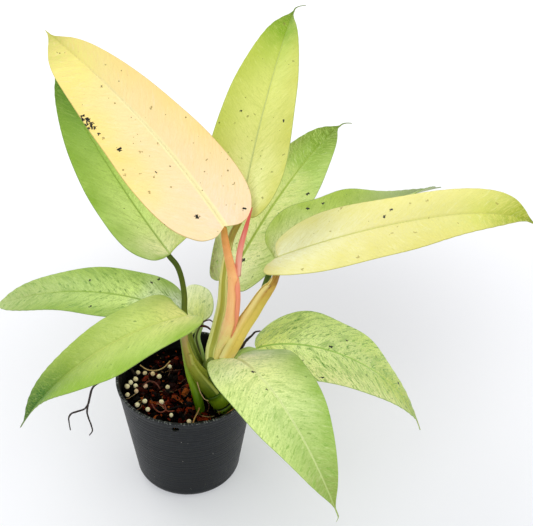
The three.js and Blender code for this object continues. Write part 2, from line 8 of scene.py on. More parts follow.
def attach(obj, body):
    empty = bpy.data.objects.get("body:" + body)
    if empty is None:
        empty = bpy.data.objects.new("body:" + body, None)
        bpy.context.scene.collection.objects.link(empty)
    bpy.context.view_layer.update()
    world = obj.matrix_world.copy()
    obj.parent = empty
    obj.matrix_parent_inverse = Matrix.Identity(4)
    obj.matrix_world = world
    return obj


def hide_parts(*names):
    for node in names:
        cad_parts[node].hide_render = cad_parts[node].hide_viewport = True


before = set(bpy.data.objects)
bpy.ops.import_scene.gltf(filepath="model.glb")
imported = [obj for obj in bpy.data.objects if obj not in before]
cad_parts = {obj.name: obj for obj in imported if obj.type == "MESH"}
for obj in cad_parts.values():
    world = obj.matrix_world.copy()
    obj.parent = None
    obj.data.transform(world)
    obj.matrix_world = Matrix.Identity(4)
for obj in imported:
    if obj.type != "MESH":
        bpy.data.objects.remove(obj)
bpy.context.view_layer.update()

# Potted whipple way philodendron. Lengths are in millimetres and angles in degrees until a mesh is made.
MM = 0.001

# The blades' outline, as shares of length and half width: where a side vein leaves the midrib, how far along
# it meets the margin, how far out, and how much of the lobe's reach it takes back
OUTLINE = np.array([
    (0, 0, 0, 0), (0.01, 0, 0.1, 0.35), (0.02, 0.002, 0.26, 0.85), (0.032, 0.006, 0.44, 1),
    (0.042, 0.014, 0.58, 0.95), (0.055, 0.03, 0.71, 0.75), (0.075, 0.052, 0.825, 0.5),
    (0.105, 0.082, 0.915, 0.28), (0.15, 0.125, 0.98, 0.1), (0.21, 0.18, 1.015, 0), (0.3, 0.27, 1.01, 0),
    (0.39, 0.375, 0.975, 0), (0.49, 0.48, 0.91, 0), (0.59, 0.585, 0.825, 0), (0.69, 0.687, 0.715, 0),
    (0.78, 0.779, 0.6, 0), (0.855, 0.855, 0.48, 0), (0.91, 0.91, 0.345, 0), (0.95, 0.95, 0.18, 0),
    (0.975, 0.975, 0.065, 0), (1, 1, 0, 0),
])
TAPER_START = 0.4
TIP_WIDTH = 0.014
WAVES, WAVE_SHIFT = 2.5, 0.2
MIDRIB_STEPS, ROW_STEPS, THREAD_STEPS = 60, 6, 8
THICKNESS, MARGIN_THICKNESS = 0.8, 0.4
MIDRIB_DEPTH, RIDGE_WIDTH, GROOVE_WIDTH = 1.7, 1.4, 0.9
QUILT_LENGTH, QUILT_HEIGHT, BEND_HEIGHT = 9, 0.2, 0.3
VEIN_SPACING = 4.6
COLUMNS = np.concatenate([np.linspace(0, 0.1, 6), np.linspace(0.15, 0.93, 13), [0.965, 0.985, 1]])
SHARES = np.concatenate([-COLUMNS[:0:-1], COLUMNS])

# The blades from the newest to the oldest. Pairs are for the left and the right half.
LEAVES = {
    "01": dict(at=(28, -5, 223), length=184, width=71, skew=-0.12, heading=129.2, pitch=28.6, turn=20.9,
        droop=-3.3, late=1.3, roll=8, twist=37.6, fold=16.8, lean=-2.5, curl=-12.5, taper=(-0.18, 0.24),
        belly=(-0.01, -0.11), lobes=(0.036, 0.026), wave=0.8),
    "02": dict(at=(-10, 13, 186.5), length=167, width=62, skew=-0.01, heading=128.5, pitch=19.2, turn=-0.1,
        droop=20.6, late=1.19, roll=1.2, twist=6.4, fold=19.8, lean=-1.7, curl=-12.3, taper=(0.57, 0.3),
        belly=(0, 0), lobes=(0.021, -0.014), wave=0.8),
    "03": dict(at=(38, 14, 220), length=160, width=60, skew=-0.05, heading=76.5, pitch=43.6, turn=-2.8,
        droop=-22.1, late=1.3, roll=17.9, twist=-15.2, fold=15.9, lean=1.9, curl=-12.6, taper=(0.05, 0.61),
        belly=(0.02, -0.03), lobes=(0.02, 0.023), wave=0.6),
    "04": dict(at=(32.5, 42, 150.5), length=146, width=59, skew=0.01, heading=50.7, pitch=43.2, turn=3.8,
        droop=-37.8, late=1.3, roll=5, twist=-17.7, fold=7, lean=1.2, curl=-12.9, taper=(0.08, 0.64),
        belly=(0.03, -0.04), lobes=(0.085, 0.077), wave=1),
    "05": dict(at=(63.5, -1.5, 196.5), length=177, width=62, skew=0.01, heading=0.6, pitch=25.3, turn=-36.1,
        droop=-30.3, late=7.02, roll=0.6, twist=-38.9, fold=10.8, lean=1.2, curl=-14.7, taper=(-0.1, 0.57),
        belly=(-0.22, -0.01), lobes=(0.01, 0.059), wave=0.8),
    "06": dict(at=(62, 12.5, 184.5), length=156, width=56, skew=-0.01, heading=32.9, pitch=19.1, turn=10.2,
        droop=-35.2, late=0.84, roll=-0.5, twist=33.1, fold=10.8, lean=0.5, curl=7.1, taper=(0.56, 0.18),
        belly=(0.25, 0), lobes=(-0.006, 0.03), wave=1.2),
    "07": dict(at=(3.5, -13.5, 154.5), length=149, width=64, skew=0.02, heading=203.4, pitch=6, turn=-19.1,
        droop=-67.3, late=0.76, roll=-6.8, twist=20.1, fold=19.9, lean=-2.6, curl=-29.5, taper=(2.58, 0.43),
        belly=(0.16, -0.27), lobes=(0.042, -0.028), wave=1),
    "08": dict(at=(-6.5, 19, 130), length=144, width=52, skew=0.01, heading=171.9, pitch=27.2, turn=0.1,
        droop=-57.8, late=0.77, roll=1.4, twist=10.3, fold=8.6, lean=-0.5, curl=-6.2, taper=(0.07, 0.27),
        belly=(0.01, -0.03), lobes=(0.035, 0.024), wave=1),
    "09": dict(at=(8.5, 23, 119), length=115, width=43, skew=0, heading=115, pitch=-10.1, turn=-0.7,
        droop=-53.5, late=0.94, roll=36.9, twist=-0.8, fold=8.9, lean=0.9, curl=-13.2, taper=(0.1, 0.1),
        belly=(0, -0.01), lobes=(0.054, 0.058), wave=0.8),
    "10": dict(at=(50, 3, 112), length=153, width=70, skew=-0.04, heading=-14.8, pitch=37.8, turn=13.1,
        droop=-110, late=0.78, roll=-1.9, twist=12.4, fold=1.1, lean=-0.5, curl=-6.7, taper=(0.52, 0.83),
        belly=(0.19, 0), lobes=(0.035, 0.03), wave=1.2),
    "11": dict(at=(37, -25, 126.5), length=157, width=58, skew=-0.05, heading=-64.8, pitch=31, turn=1.4,
        droop=-65.1, late=0.96, roll=1.3, twist=-21.6, fold=7.2, lean=0.9, curl=-9.6, taper=(0.7, 0.76),
        belly=(-0.02, 0.08), lobes=(0.065, 0.048), wave=1),
}

# The thread at a blade's tip: its length and how far its end bends to the right and up, as shares of that
TIPS = {
    "01": [2, 0.2, 0.2],
    "03": [6.5, 0.9, -0.2],
    "04": [8.5, 0.5, -0.1],
    "05": [4, 0, -0.4],
    "11": [3, 0.8, 0],
}
PLAIN_TIP = (3, 0, 0)

# Marks on the blades, as along, out and radius in millimetres: dark ones and faint ones
DARK_MARKS = {
    "01": [(0.655, -0.72, 1.5), (0.643, -0.75, 1.4), (0.631, -0.7, 1.5), (0.62, -0.74, 1.4),
        (0.608, -0.7, 1.5), (0.597, -0.74, 1.4), (0.586, -0.71, 1.2), (0.62, -0.8, 1.2), (0.6, -0.8, 1.1),
        (0.555, -0.74, 0.9), (0.455, -0.68, 1.6), (0.295, -0.16, 0.9), (0.3, -0.46, 1.1),
        (0.07, -0.36, 1.7), (0.02, 0.55, 1.1), (0.705, -0.09, 0.8)],
    "03": [(0.445, -0.49, 0.9), (0.41, 0.68, 0.8)],
    "04": [(0.515, 0.62, 1), (0.075, 0.1, 1.5)],
    "05": [(0.43, -0.24, 1.2), (0.455, -0.38, 0.9)],
    "06": [(0.385, -0.9, 1.2), (0.295, -0.9, 1.2)],
    "08": [(0.175, 0.69, 1.3), (0.145, 0.9, 1.2), (0.47, 0.39, 1), (0.42, -0.66, 1.1)],
    "10": [(0.36, -0.12, 1.5), (0.765, -0.29, 1.6), (0.43, -0.49, 1.2), (0.355, 0.86, 1.2)],
    "11": [(0.215, 0.06, 1.4), (0.37, 0.12, 1)],
}
FAINT_MARKS = {
    "01": [(0.24, 0.51, 0.8), (0.75, 0.3, 0.8), (0.915, -0.17, 0.7), (0.395, -0.06, 0.7), (0.4, -0.42, 0.7),
        (0.325, -0.69, 0.8), (0.355, -0.9, 0.8), (0.53, -0.74, 0.8), (0.515, 0.34, 0.7), (0.315, 0.53, 0.6),
        (0.22, -0.41, 0.7), (0.24, -0.78, 0.7), (0.115, 0.69, 0.8), (0.075, 0.9, 0.8)],
    "03": [(0.425, -0.3, 0.8), (0.39, -0.57, 0.7), (0.44, -0.16, 0.6), (0.26, 0.88, 0.8), (0.18, 0.69, 0.7),
        (0.07, 0.61, 0.9), (0.25, 0.24, 0.7), (0.235, -0.21, 0.7), (0.91, -0.11, 0.7), (0.7, 0.46, 0.8)],
    "04": [(0.01, -0.59, 0.9), (0.06, -0.78, 0.9), (0.13, -0.32, 0.8), (0.125, 0.43, 0.8),
        (0.02, 0.61, 0.9)],
    "05": [(0.525, -0.45, 1), (0.565, 0.39, 0.9), (0.47, 0.29, 0.8), (0.255, -0.84, 1), (0.215, -0.25, 0.8),
        (0.11, 0.84, 1), (0.345, 0.81, 0.9), (0.73, 0.26, 0.8), (0.855, -0.21, 0.8), (0.59, -0.42, 0.9)],
    "07": [(0.085, -0.24, 0.8), (0.235, 0.25, 0.8), (0.45, -0.55, 0.9), (0.69, 0.06, 0.7)],
    "08": [(0.16, 0.33, 1), (0.355, 0.73, 1), (0.4, 0.06, 0.9), (0.725, 0.09, 0.9)],
    "09": [(0.1, 0.59, 1), (0.03, 0.61, 0.9), (0.185, 0.56, 0.8)],
    "10": [(0.805, 0.29, 1.1), (0.55, 0.3, 0.9), (0.6, -0.5, 1.1), (0.25, 0.5, 1)],
    "11": [(0.27, -0.08, 0.9), (0.385, -0.78, 0.8), (0.47, -0.51, 0.8), (0.66, -0.17, 0.9),
        (0.625, -0.06, 0.7), (0.62, 0.5, 0.9), (0.425, 0.5, 0.8), (0.44, 0.92, 0.8)],
}
BLOT_BEND = 5

# How far apart neighbouring blades and neighbouring stalks lie in the patterns on them
BLADE_STEP, STALK_STEP = 37.0, 17.0

# How each blade is coloured. body: colours from the foot to the tip. edges: colours towards the margin, left
# and right of the midrib, and foot: their share at the foot. streak: flecks that run along the side veins.
# rib: the midrib's colour, its half width at the foot, how far it shows and how strongly. veins: the colour
# of the side veins and how strongly they show. crease: the rib's colour near the foot, and how far it goes.
# speck: the colour of small spots and their density.
LOOKS = {
    "01": dict(slot="leaf_cream", body=[(0, "fce0c0"), (0.3, "fce0ac"), (0.6, "fce4a4"), (0.85, "f4e884"),
        (1, "bcc058")], edges=("f8e074", "fcdc88"), streak=("f8d088", 0.3), rib=("fcf0b4", 2.4, 0.7, 0.9),
        foot=0.3, pale="fcf4dc", veins=("fcdc94", 0.3), margin="c9a94e", speck=("86702c", 0.9)),
    "02": dict(slot="leaf_green", body=[(0, "fcfcc8"), (0.2, "e4fc9c"), (0.45, "c4e474"), (0.7, "90b84c"),
        (0.9, "4c7808"), (1, "487408")], edges=("8cb434", "d4e878"), streak=("80a834", 0.42),
        rib=("9cc048", 0.9, 0.9, 0.6), pale="e0f094", veins=("a8c858", 0.3), margin="6f9030",
        speck=("6b8c34", 0.35)),
    "03": dict(slot="leaf_lime", body=[(0, "fcfcb8"), (0.3, "d8d87c"), (0.55, "d8dc74"), (0.75, "b8c850"),
        (0.87, "80a414"), (1, "3c6404")], edges=("b0bc38", "c8c854"), streak=("acb848", 0.33),
        rib=("c4d084", 0.9, 0.85, 0.6), pale="f0f098", veins=("bcc858", 0.35), margin="9cae48",
        speck=("7b7a2a", 0.65)),
    "04": dict(slot="leaf_mint", body=[(0, "fcfccc"), (0.3, "dce094"), (0.5, "d0d884"), (0.65, "9cb84c"),
        (0.8, "749418"), (1, "5c7408")], edges=("686014", "bcd478"), streak=("90b048", 0.75),
        rib=("a0b844", 1.3, 0.75, 0.85), pale="fcfccc", veins=("d4e880", 0.35), margin="8fae5c",
        speck=("6f9040", 0.65)),
    "05": dict(slot="leaf_yellow", body=[(0, "fcfcd4"), (0.4, "e0d890"), (0.65, "d8d480"), (0.82, "ccd060"),
        (0.93, "94a41c"), (1, "5c7404")], edges=("ece48c", "d8d070"), streak=("e0d86c", 0.45),
        rib=("d8d87c", 0.8, 0.8, 0.8), pale="f8f8cc", veins=("e4dc78", 0.4), margin="c4bf5a",
        speck=("9a8a3a", 0.5)),
    "06": dict(slot="leaf_green", body=[(0, "fcfccc"), (0.4, "b4c85c"), (0.7, "8c9c54"), (1, "50682c")],
        edges=("a4bc40", "b0c848"), streak=("789820", 0.5), rib=("94ac34", 0.8, 0.8, 0.6), pale="d4e07c",
        veins=("98b83c", 0.3), margin="6f8c34", speck=("5c7a2c", 0.3)),
    "07": dict(slot="leaf_lime", body=[(0, "f0ec98"), (0.2, "c8d870"), (0.45, "acc05c"), (0.6, "84a034"),
        (0.8, "306804"), (0.95, "2c5c04"), (1, "305404")], edges=("8cb42c", "9cb444"),
        streak=("7c9c34", 0.5), rib=("d0dc78", 1.2, 0.6, 0.6), pale="dcec90", veins=("acc050", 0.35),
        margin="7c9c3c", speck=("6c8a30", 0.45)),
    "08": dict(slot="leaf_mint", body=[(0, "fcfcfc"), (0.25, "dcf090"), (0.5, "b0c86c"), (0.8, "a8b86c"),
        (1, "b0c07c")], edges=("80a024", "98b440"), streak=("709438", 0.9), rib=("94b448", 0.9, 0.75, 0.75),
        pale="e4f4ac", veins=("a0c058", 0.4), margin="7e9c44", speck=("5f8434", 0.7)),
    "09": dict(slot="leaf_mint", body=[(0, "d8e070"), (0.4, "ececb0"), (1, "c0d06c")],
        edges=("c8dc6c", "dce0b0"), streak=("88a448", 0.8), rib=("acc05c", 0.9, 0.8, 0.5), pale="ecf0b8",
        veins=("b8cc6c", 0.3), margin="8eab58", speck=("6f9044", 0.6)),
    "10": dict(slot="leaf_mint", body=[(0, "f4fc84"), (0.25, "f0fcac"), (0.5, "d8e490"), (0.75, "c0cc58"),
        (1, "949c1c")], edges=("dcec80", "f4f0ac"), streak=("609430", 1), rib=("a0cc54", 1.0, 0.75, 0.8),
        pale="f8f8c4", veins=("b8e068", 0.45), margin="88a650", speck=("4f7428", 0.9)),
    "11": dict(slot="leaf_lime", body=[(0, "fcfcdc"), (0.25, "ecf4a4"), (0.5, "d0e090"), (0.7, "acc46c"),
        (0.85, "94a854"), (1, "708008")], edges=("88ac38", "dcec90"), streak=("7ca43c", 0.8),
        rib=("ecf4b0", 1.3, 0.95, 0.45), pale="f8f8c4", veins=("bcd87c", 0.35), crease=("b4b470", 0.26),
        margin="8cac50", speck=("6e8c34", 0.9)),
}

# Petioles. facing: the direction of the channelled side. sheath: the share of the length with a sheath's two
# flaps. open: half the angle between those. skin: colours from the stem to the blade. channel and flap: the
# colours of the channelled side and of the flaps.
PETIOLES = {
    "01": dict(path=[(21.5, -7.5, 106), (22.5, -9.5, 114.5), (25.5, -11, 125), (28, -12, 134),
        (31, -13, 145.5), (33.2, -13.2, 155), (34.5, -12, 171), (33.9, -10, 186), (30.9, -8, 200.3),
        (28.5, -6, 214), (28, -5, 221.5)], radii=[2.4, 2.4, 3, 4, 4.8, 4.6, 4.4, 3.7, 2.9, 2.5, 2.2],
        facing=(0.95, 0.1, 0.3), sheath=0.69, skin=[(0, "fff483"), (0.25, "ffee9f"), (0.45, "ffcb8a"),
        (0.62, "fdbe7d"), (0.78, "e49d59"), (0.95, "b68731"), (1, "8e7720")], channel="f49c6c",
        flap="f48c74", slot="petiole_coral"),
    "02": dict(path=[(17, -3, 92), (11.5, -3, 100), (6, 0, 112), (3, 3, 121.5), (-0.5, 6.5, 141),
        (-0.5, 8.5, 154.3), (-2.5, 10.5, 169.3), (-5.5, 12, 178), (-9.6, 13, 185.3)],
        radii=[3, 3, 2.6, 2.3, 2.1, 2, 1.9, 1.9, 2], facing=(0.6, -0.5, 0.5), sheath=0.3,
        skin=[(0, "8f9a3c"), (0.35, "6f7c26"), (0.7, "4c5c14"), (1, "3c5210")], channel="56661c",
        flap="8a9a40", slot="petiole_olive"),
    "03": dict(path=[(18, -8, 104), (18.5, -6.5, 119), (20.5, -3, 126), (23.5, 1, 138.5), (26, 4.5, 151.5),
        (27, 9, 172.5), (31.8, 12, 201.6), (37, 14, 218)], radii=[3.6, 3.9, 4, 3.9, 3.7, 2.9, 2.4, 2.2],
        facing=(0.05, -0.93, 0.35), sheath=0.73, open=0.64, skin=[(0, "dfe490"), (0.4, "d8dc80"),
        (0.66, "ccc870"), (0.74, "a8924c"), (0.86, "84761c"), (1, "6c700c")], channel="b0b444",
        flap="eef09c", slot="petiole_olive"),
    "04": dict(path=[(20, -2, 96), (20.5, 3, 106), (24, 12.5, 117), (28, 24, 131), (31, 34, 142),
        (32.4, 41.5, 148.6)], radii=[3.2, 3.2, 2.8, 2.4, 2.1, 2], facing=(-0.5, -0.7, 0.5), sheath=0.4,
        skin=[(0, "b8c66a"), (0.5, "9fb254"), (1, "7f9a3c")], channel="8aa040", flap="c8d688",
        slot="petiole_green"),
    "05": dict(path=[(26.5, -13, 109), (29.5, -14, 118.5), (33.5, -13.5, 127), (41, -11, 144),
        (47, -9, 154), (52, -7, 163), (56.5, -5.5, 170), (60, -4, 175), (62.5, -3, 181.5),
        (63.3, -1.6, 195)], radii=[4, 4.6, 5, 5.2, 4.9, 4.5, 4, 3.1, 2.5, 2.3], facing=(-0.75, 0.1, 0.65),
        sheath=0.78, skin=[(0, "fbde72"), (0.25, "f3d370"), (0.5, "d5bb56"), (0.68, "c79c44"),
        (0.78, "925b1d"), (1, "784c11")], channel="dcc850", flap="fcf0a0", slot="petiole_tan"),
    "06": dict(path=[(23, -3, 100), (28, -1, 112), (38.5, 2.5, 127), (48, 5, 148.5), (53.5, 7, 159),
        (56, 8.5, 167), (58, 10.5, 173), (60.5, 12.5, 181)], radii=[3.4, 3.3, 2.9, 2.6, 2.4, 2.2, 2.1, 2],
        facing=(-0.6, -0.4, 0.65), sheath=0.5, skin=[(0, "8fa23c"), (0.5, "6c8430"), (0.75, "34540c"),
        (1, "2c4a08")], channel="50701c", flap="a9b860", slot="petiole_olive"),
    "07": dict(path=[(20, -17.5, 89.5), (16, -17.5, 96), (11, -17, 103.5), (6, -16, 112), (3, -15, 121.5),
        (1, -14.5, 132.5), (1, -14, 143), (3, -13.5, 153)], radii=[6.6, 6.3, 5.3, 4.2, 3, 2.4, 2.3, 2.2],
        facing=(0.85, -0.2, 0.5), sheath=0.62, skin=[(0, "445c00"), (0.15, "56680c"), (0.35, "848a20"),
        (0.55, "a08c40"), (0.8, "ac906c"), (1, "9c9040")], channel="8c9430", flap="a4a84c",
        slot="petiole_tan"),
    "08": dict(path=[(11.5, -22, 72), (10, -20.5, 81.5), (7.5, -17, 90.5), (4, -12, 98.5), (1.5, -6, 106),
        (-1, 2, 116), (-3.5, 10, 122), (-5.5, 18, 127)], radii=[3.2, 3.5, 3.4, 3.1, 2.8, 2.5, 2.2, 2.1],
        facing=(0.7, -0.5, 0.5), sheath=0, skin=[(0, "3c5c00"), (0.2, "608400"), (0.35, "8cac18"),
        (0.55, "9cb044"), (1, "7f9c40")], channel="5c7c00", flap="b0c468", slot="petiole_green"),
    "09": dict(path=[(19, -4, 84), (13, -1, 97.5), (10, 6, 106), (7.5, 13, 113.5), (8, 21.5, 117.5)],
        radii=[2.6, 2.6, 2.4, 2.1, 1.9], facing=(-0.3, -0.8, 0.5), sheath=0.75, skin=[(0, "7c9838"),
        (0.5, "a4c468"), (1, "8ca444")], channel="3c2c1e", flap="a8b870", slot="petiole_green"),
    "10": dict(path=[(24, -9, 88), (29, -10, 100), (34, -8.5, 110), (39, -5, 114), (44.5, -1, 114.5),
        (49, 2.5, 112.3)], radii=[3.4, 3.2, 2.8, 2.4, 2.2, 2.1], facing=(-0.4, -0.2, 0.9), sheath=0.45,
        skin=[(0, "9cb458"), (0.5, "a9c46c"), (1, "b4c87c")], channel="8aa448", flap="c0d488",
        slot="petiole_green"),
    "11": dict(path=[(25, -16, 92), (27.5, -19, 104), (31, -22, 116), (35.8, -24.7, 124.8)],
        radii=[3.6, 3.2, 2.6, 2.2], facing=(-0.4, 0.7, 0.6), sheath=0.5, skin=[(0, "9cb458"),
        (0.5, "a9c46c"), (1, "a8ac60")], channel="8aa448", flap="c0d488", slot="petiole_green"),
}
CHANNEL_OPENING = 0.62

# The free edges of sheaths, on the petioles that show them: shares of the length where one starts and ends,
# the angles from the channel of its fixed and its free side, each at its foot and at its top, how far it
# stands off in millimetres, and how soon its pale colour fades
SHEATH_EDGES = {
    "01": [(0.2, 0.7, (-0.5, -0.3), (-0.7, -1.5), 0.6, 0)],
    "03": [(0.06, 0.72, (1.05, 1), (0.7, 0.6), 0.6, 0.1),
        (0.06, 0.7, (-1.15, -1.1), (-0.75, -0.65), 0.6, 0.1)],
    "05": [(0.1, 0.79, (1.5, 1.3), (0.45, 0.4), 0.7, 0.1),
        (0.1, 0.77, (-1.2, -1.2), (-0.5, -0.5), 0.6, 0.1)],
    "07": [(0.46, 0.6, (-1.3, -1.2), (-0.8, -0.4), 0.8, 0.1)],
}
FLAP_COLUMNS, FLAP_THICKNESS = 8, 0.4

STEM = dict(path=[(31, -17, 52), (29.5, -18, 72), (24.5, -17.5, 82), (19, -15, 91), (18.5, -10, 102),
    (19.5, -6.5, 113)], radii=[6.5, 7, 7.2, 7.2, 7.2, 5])
STEM_RINGS = (0.16, 0.29, 0.5, 0.72)
RING_NOTCH = 0.028
SPIKE = dict(path=[(36.8, -6, 184), (38.5, -5.5, 205), (42.2, -4.5, 221.8), (46, -3.5, 237)],
    radii=[2.3, 2.1, 1.6, 0.3])
ROOTS = {
    "root_back": [
        dict(path=[(9.5, 17.5, 120), (11.5, 17, 120.5), (14.5, 16.5, 120), (17, 16, 118)],
            radii=[0.9, 0.9, 0.8, 0.6]),
        dict(path=[(9.5, 17.5, 120), (11.5, 18, 123), (14, 19, 124), (16.5, 19.5, 124), (19, 19, 122)],
            radii=[0.5, 0.5, 0.5, 0.5, 0.4]),
    ],
    "root_left": [
        dict(path=[(-38, 14, 71), (-42.5, 15, 82), (-46, 15.5, 90), (-50.5, 14.5, 90), (-54.5, 9, 86.5),
            (-59, 4, 81), (-68, 0, 75), (-71.5, 0, 64), (-73, 0, 58), (-76, 0, 53), (-82, 0, 50),
            (-86, 0, 48), (-88.3, 0, 44), (-88.6, 0, 39), (-88.2, 0, 31)], radii=[1, 1, 1, 1, 1, 0.9, 0.8,
            0.8, 0.8, 0.7, 0.7, 0.7, 0.6, 0.5, 0.4]),
        dict(path=[(-73, 0, 58), (-74.3, -0.5, 50), (-73.4, -1, 44), (-72, -1, 37), (-71.7, -0.5, 31),
            (-74.3, 0, 26)], radii=[0.7, 0.7, 0.6, 0.6, 0.5, 0.4]),
    ],
    "root_right": [
        dict(path=[(29.5, -9, 103), (34, -4, 108), (40, 0.5, 115.5), (42.5, 3, 119), (46.5, 6, 121.5),
            (49, 9, 122.5), (52.5, 12, 121)], radii=[1.3, 1.3, 1.1, 1, 0.8, 0.7, 0.5]),
    ],
}

POT = dict(height=88, rim=51, bottom=38.6, corner=9, wall=1.5, floor=2, lip=4, lip_step=0.7)
HANGING_HOLE = dict(diameter=5, below_rim=6, count=3, first=-95)
DRAIN_HOLE = dict(diameter=6, radius=22, count=8, first=0)

# The mix, with the bed's crumbly top a little below the chips and pellets on it
SOIL_TOP, SOIL_ROUGHNESS, SOIL_DROP = 75, 1.6, 1.2
CHIPS, BIG_CHIPS, FIBRES = 850, 200, 46
PELLET_DIAMETER = 3.6
PELLETS = [
    (-37, 16), (-32, 16), (-38, 8), (-41, 3), (-43, -2), (-37, -1), (-36, -6), (-30, 0), (-42, -10),
    (-29, -16), (-34, -20), (-26, -25), (-26, 14), (-21, 11), (-17, -17), (-14, 1), (-14, 21), (-9, -30),
    (4, -36), (26, 24), (8, 36), (34, 10),
]
# Loose root ends and sticks on the mix that the photo shows: colour, radius and path
MIX_STRANDS = [
    ("c9a46a", 0.45, [(-36, 21.5, 78), (-30, 15, 79.5), (-24, 13.5, 80), (-18.5, 16.5, 80),
        (-14, 25, 79.5)]),
    ("7a3420", 0.5, [(-23.5, -20.5, 78.5), (-20, -27, 79), (-16, -29.5, 79), (-13, -26, 79),
        (-15, -20.5, 78.5)]),
    ("8a3c22", 0.4, [(-20, -18.5, 78.5), (-15.5, -23, 79), (-11.5, -28, 79), (-7, -27, 78.5)]),
    ("b98a54", 0.55, [(11, -20, 79), (10, -28, 79.5), (8, -35.5, 80), (7, -41, 80)]),
    ("b06a34", 0.9, [(28.5, -33, 80), (31, -31.5, 81), (34, -29.5, 82), (36.5, -28, 83)]),
    ("6a2c1a", 0.5, [(-31.5, -1, 78.5), (-27.5, 3, 79), (-22.5, 1, 79), (-19, -4.5, 78.5)]),
    ("c9a878", 0.35, [(9.5, -24, 103.5), (10.5, -24, 98), (12, -24, 92.5), (14.5, -24, 87.5),
        (17, -24, 86)]),
]


# Node materials
def linear(code):
    """A hexadecimal sRGB colour as linear RGBA."""
    shares = [int(code[i:i + 2], 16) / 255 for i in (0, 2, 4)]
    return tuple(c / 12.92 if c <= 0.04045 else ((c + 0.055) / 1.055) ** 2.4 for c in shares) + (1.0,)


class Value:
    """What a node gives: a number, vector or colour that varies over the surface."""

    def __init__(self, graph, socket):
        self.graph, self.socket = graph, socket

    def __add__(self, other):
        return self.graph.math("ADD", self, other)

    def __mul__(self, other):
        return self.graph.math("MULTIPLY", self, other)

    def __sub__(self, other):
        return self.graph.math("SUBTRACT", self, other)

    def __rsub__(self, other):
        return self.graph.math("SUBTRACT", other, self)

    def __truediv__(self, other):
        return self.graph.math("DIVIDE", self, other)

    def __abs__(self):
        return self.graph.math("ABSOLUTE", self)

    __radd__, __rmul__ = __add__, __mul__

    def ease(self, low, high, start=0.0, end=1.0):
        """A smooth step from start, where the value is low, to end, where it is high."""
        inputs = {0: self, 1: low, 2: high, 3: start, 4: end}
        return self.graph.value("MapRange", 0, inputs, interpolation_type="SMOOTHSTEP")


class Graph:
    """A node material under construction, with one Principled shader."""

    def __init__(self, name, roughness, specular=0.5):
        self.material = bpy.data.materials.new(name)
        self.material.use_nodes = True
        self.tree = self.material.node_tree
        self.colour = None
        self.set(Roughness=roughness, Specular_IOR_Level=specular)

    def set(self, **settings):
        for key, value in settings.items():
            self.plug(self.tree.nodes["Principled BSDF"].inputs[key.replace("_", " ")], value)

    def plug(self, socket, value):
        if isinstance(value, Value):
            self.tree.links.new(value.socket, socket)
        else:
            socket.default_value = value

    def node(self, kind, inputs=(), **settings):
        made = self.tree.nodes.new("ShaderNode" + kind)
        for key, value in settings.items():
            setattr(made, key, value)
        for key, value in dict(inputs).items():
            self.plug(made.inputs[key], value)
        return made

    def value(self, kind, output, inputs=(), **settings):
        return Value(self, self.node(kind, inputs, **settings).outputs[output])

    def attribute(self, name, output="Vector"):
        return self.value("Attribute", output, attribute_name=name)

    def split(self, vector):
        """The three parts of a vector, or of the attribute of that name."""
        vector = self.attribute(vector) if isinstance(vector, str) else vector
        return [Value(self, part) for part in self.node("SeparateXYZ", {0: vector}).outputs]

    def join(self, x, y, z):
        return self.value("CombineXYZ", 0, {0: x, 1: y, 2: z})

    def math(self, operation, *values):
        return self.value("Math", 0, enumerate(values), operation=operation)

    def noise(self, vector, scale, detail=2.0, roughness=0.5, distortion=0.0):
        inputs = {"Vector": vector, "Scale": scale, "Detail": detail, "Roughness": roughness,
                  "Distortion": distortion}
        return self.value("TexNoise", "Fac", inputs)

    def spots(self, vector, scale, radius, density):
        """Round spots in a share of the cells, 1 at a spot's middle."""
        cells = self.node("TexVoronoi", {"Vector": vector, "Scale": scale, "Randomness": 1.0}).outputs
        draw, size, _ = self.split(Value(self, cells["Color"]))
        near = 1.0 - Value(self, cells["Distance"]) / (size * radius)
        return self.math("LESS_THAN", draw, density) * near.ease(0.0, 0.35)

    def blots(self, where, centres):
        """Ragged blots round these places, each with its radius."""
        shift = self.value("TexNoise", "Color", {"Vector": where, "Scale": 0.55, "Detail": 3.0})
        inputs = {0: shift, 1: (BLOT_BEND, BLOT_BEND, 0), 2: where}
        bent = self.value("VectorMath", "Vector", inputs, operation="MULTIPLY_ADD")
        found = 0.0
        for (x, y, z), radius in centres:
            inputs = {0: bent, 1: (x + BLOT_BEND / 2, y + BLOT_BEND / 2, z)}
            away = self.value("VectorMath", "Value", inputs, operation="DISTANCE")
            found = self.math("MAXIMUM", found, self.math("MULTIPLY_ADD", away, -0.6 / radius, 1.0))
        ragged = self.noise(where, 0.9, 3.0, 0.6) * 2.4 - 0.2
        return (found * ragged).ease(0.36, 0.46)

    def mix(self, amount, a, b):
        a, b = (linear(c) if isinstance(c, str) else c for c in (a, b))
        return self.value("Mix", 2, {0: amount, 6: a, 7: b}, data_type="RGBA")

    def ramp(self, value, stops):
        made = self.node("ValToRGB", {0: value})
        elements = made.color_ramp.elements
        while len(elements) < len(stops):
            elements.new(0.5)
        for element, (share, _) in zip(elements, stops):
            element.position = share
        for element, (_, code) in zip(elements, stops):
            element.color = linear(code)
        return Value(self, made.outputs[0])

    def tint(self, amount, code):
        """Lay a colour over what there is so far."""
        self.colour = self.mix(amount, self.colour, code)

    def finish(self, relief=None, distance=0.0, **settings):
        """The finished material. The relief is a bump, distance millimetres high."""
        if relief is not None:
            inputs = {"Height": relief, "Distance": distance * MM, "Strength": 1.0}
            settings["Normal"] = self.value("Bump", 0, inputs)
        self.set(Base_Color=self.colour, **settings)
        return self.material


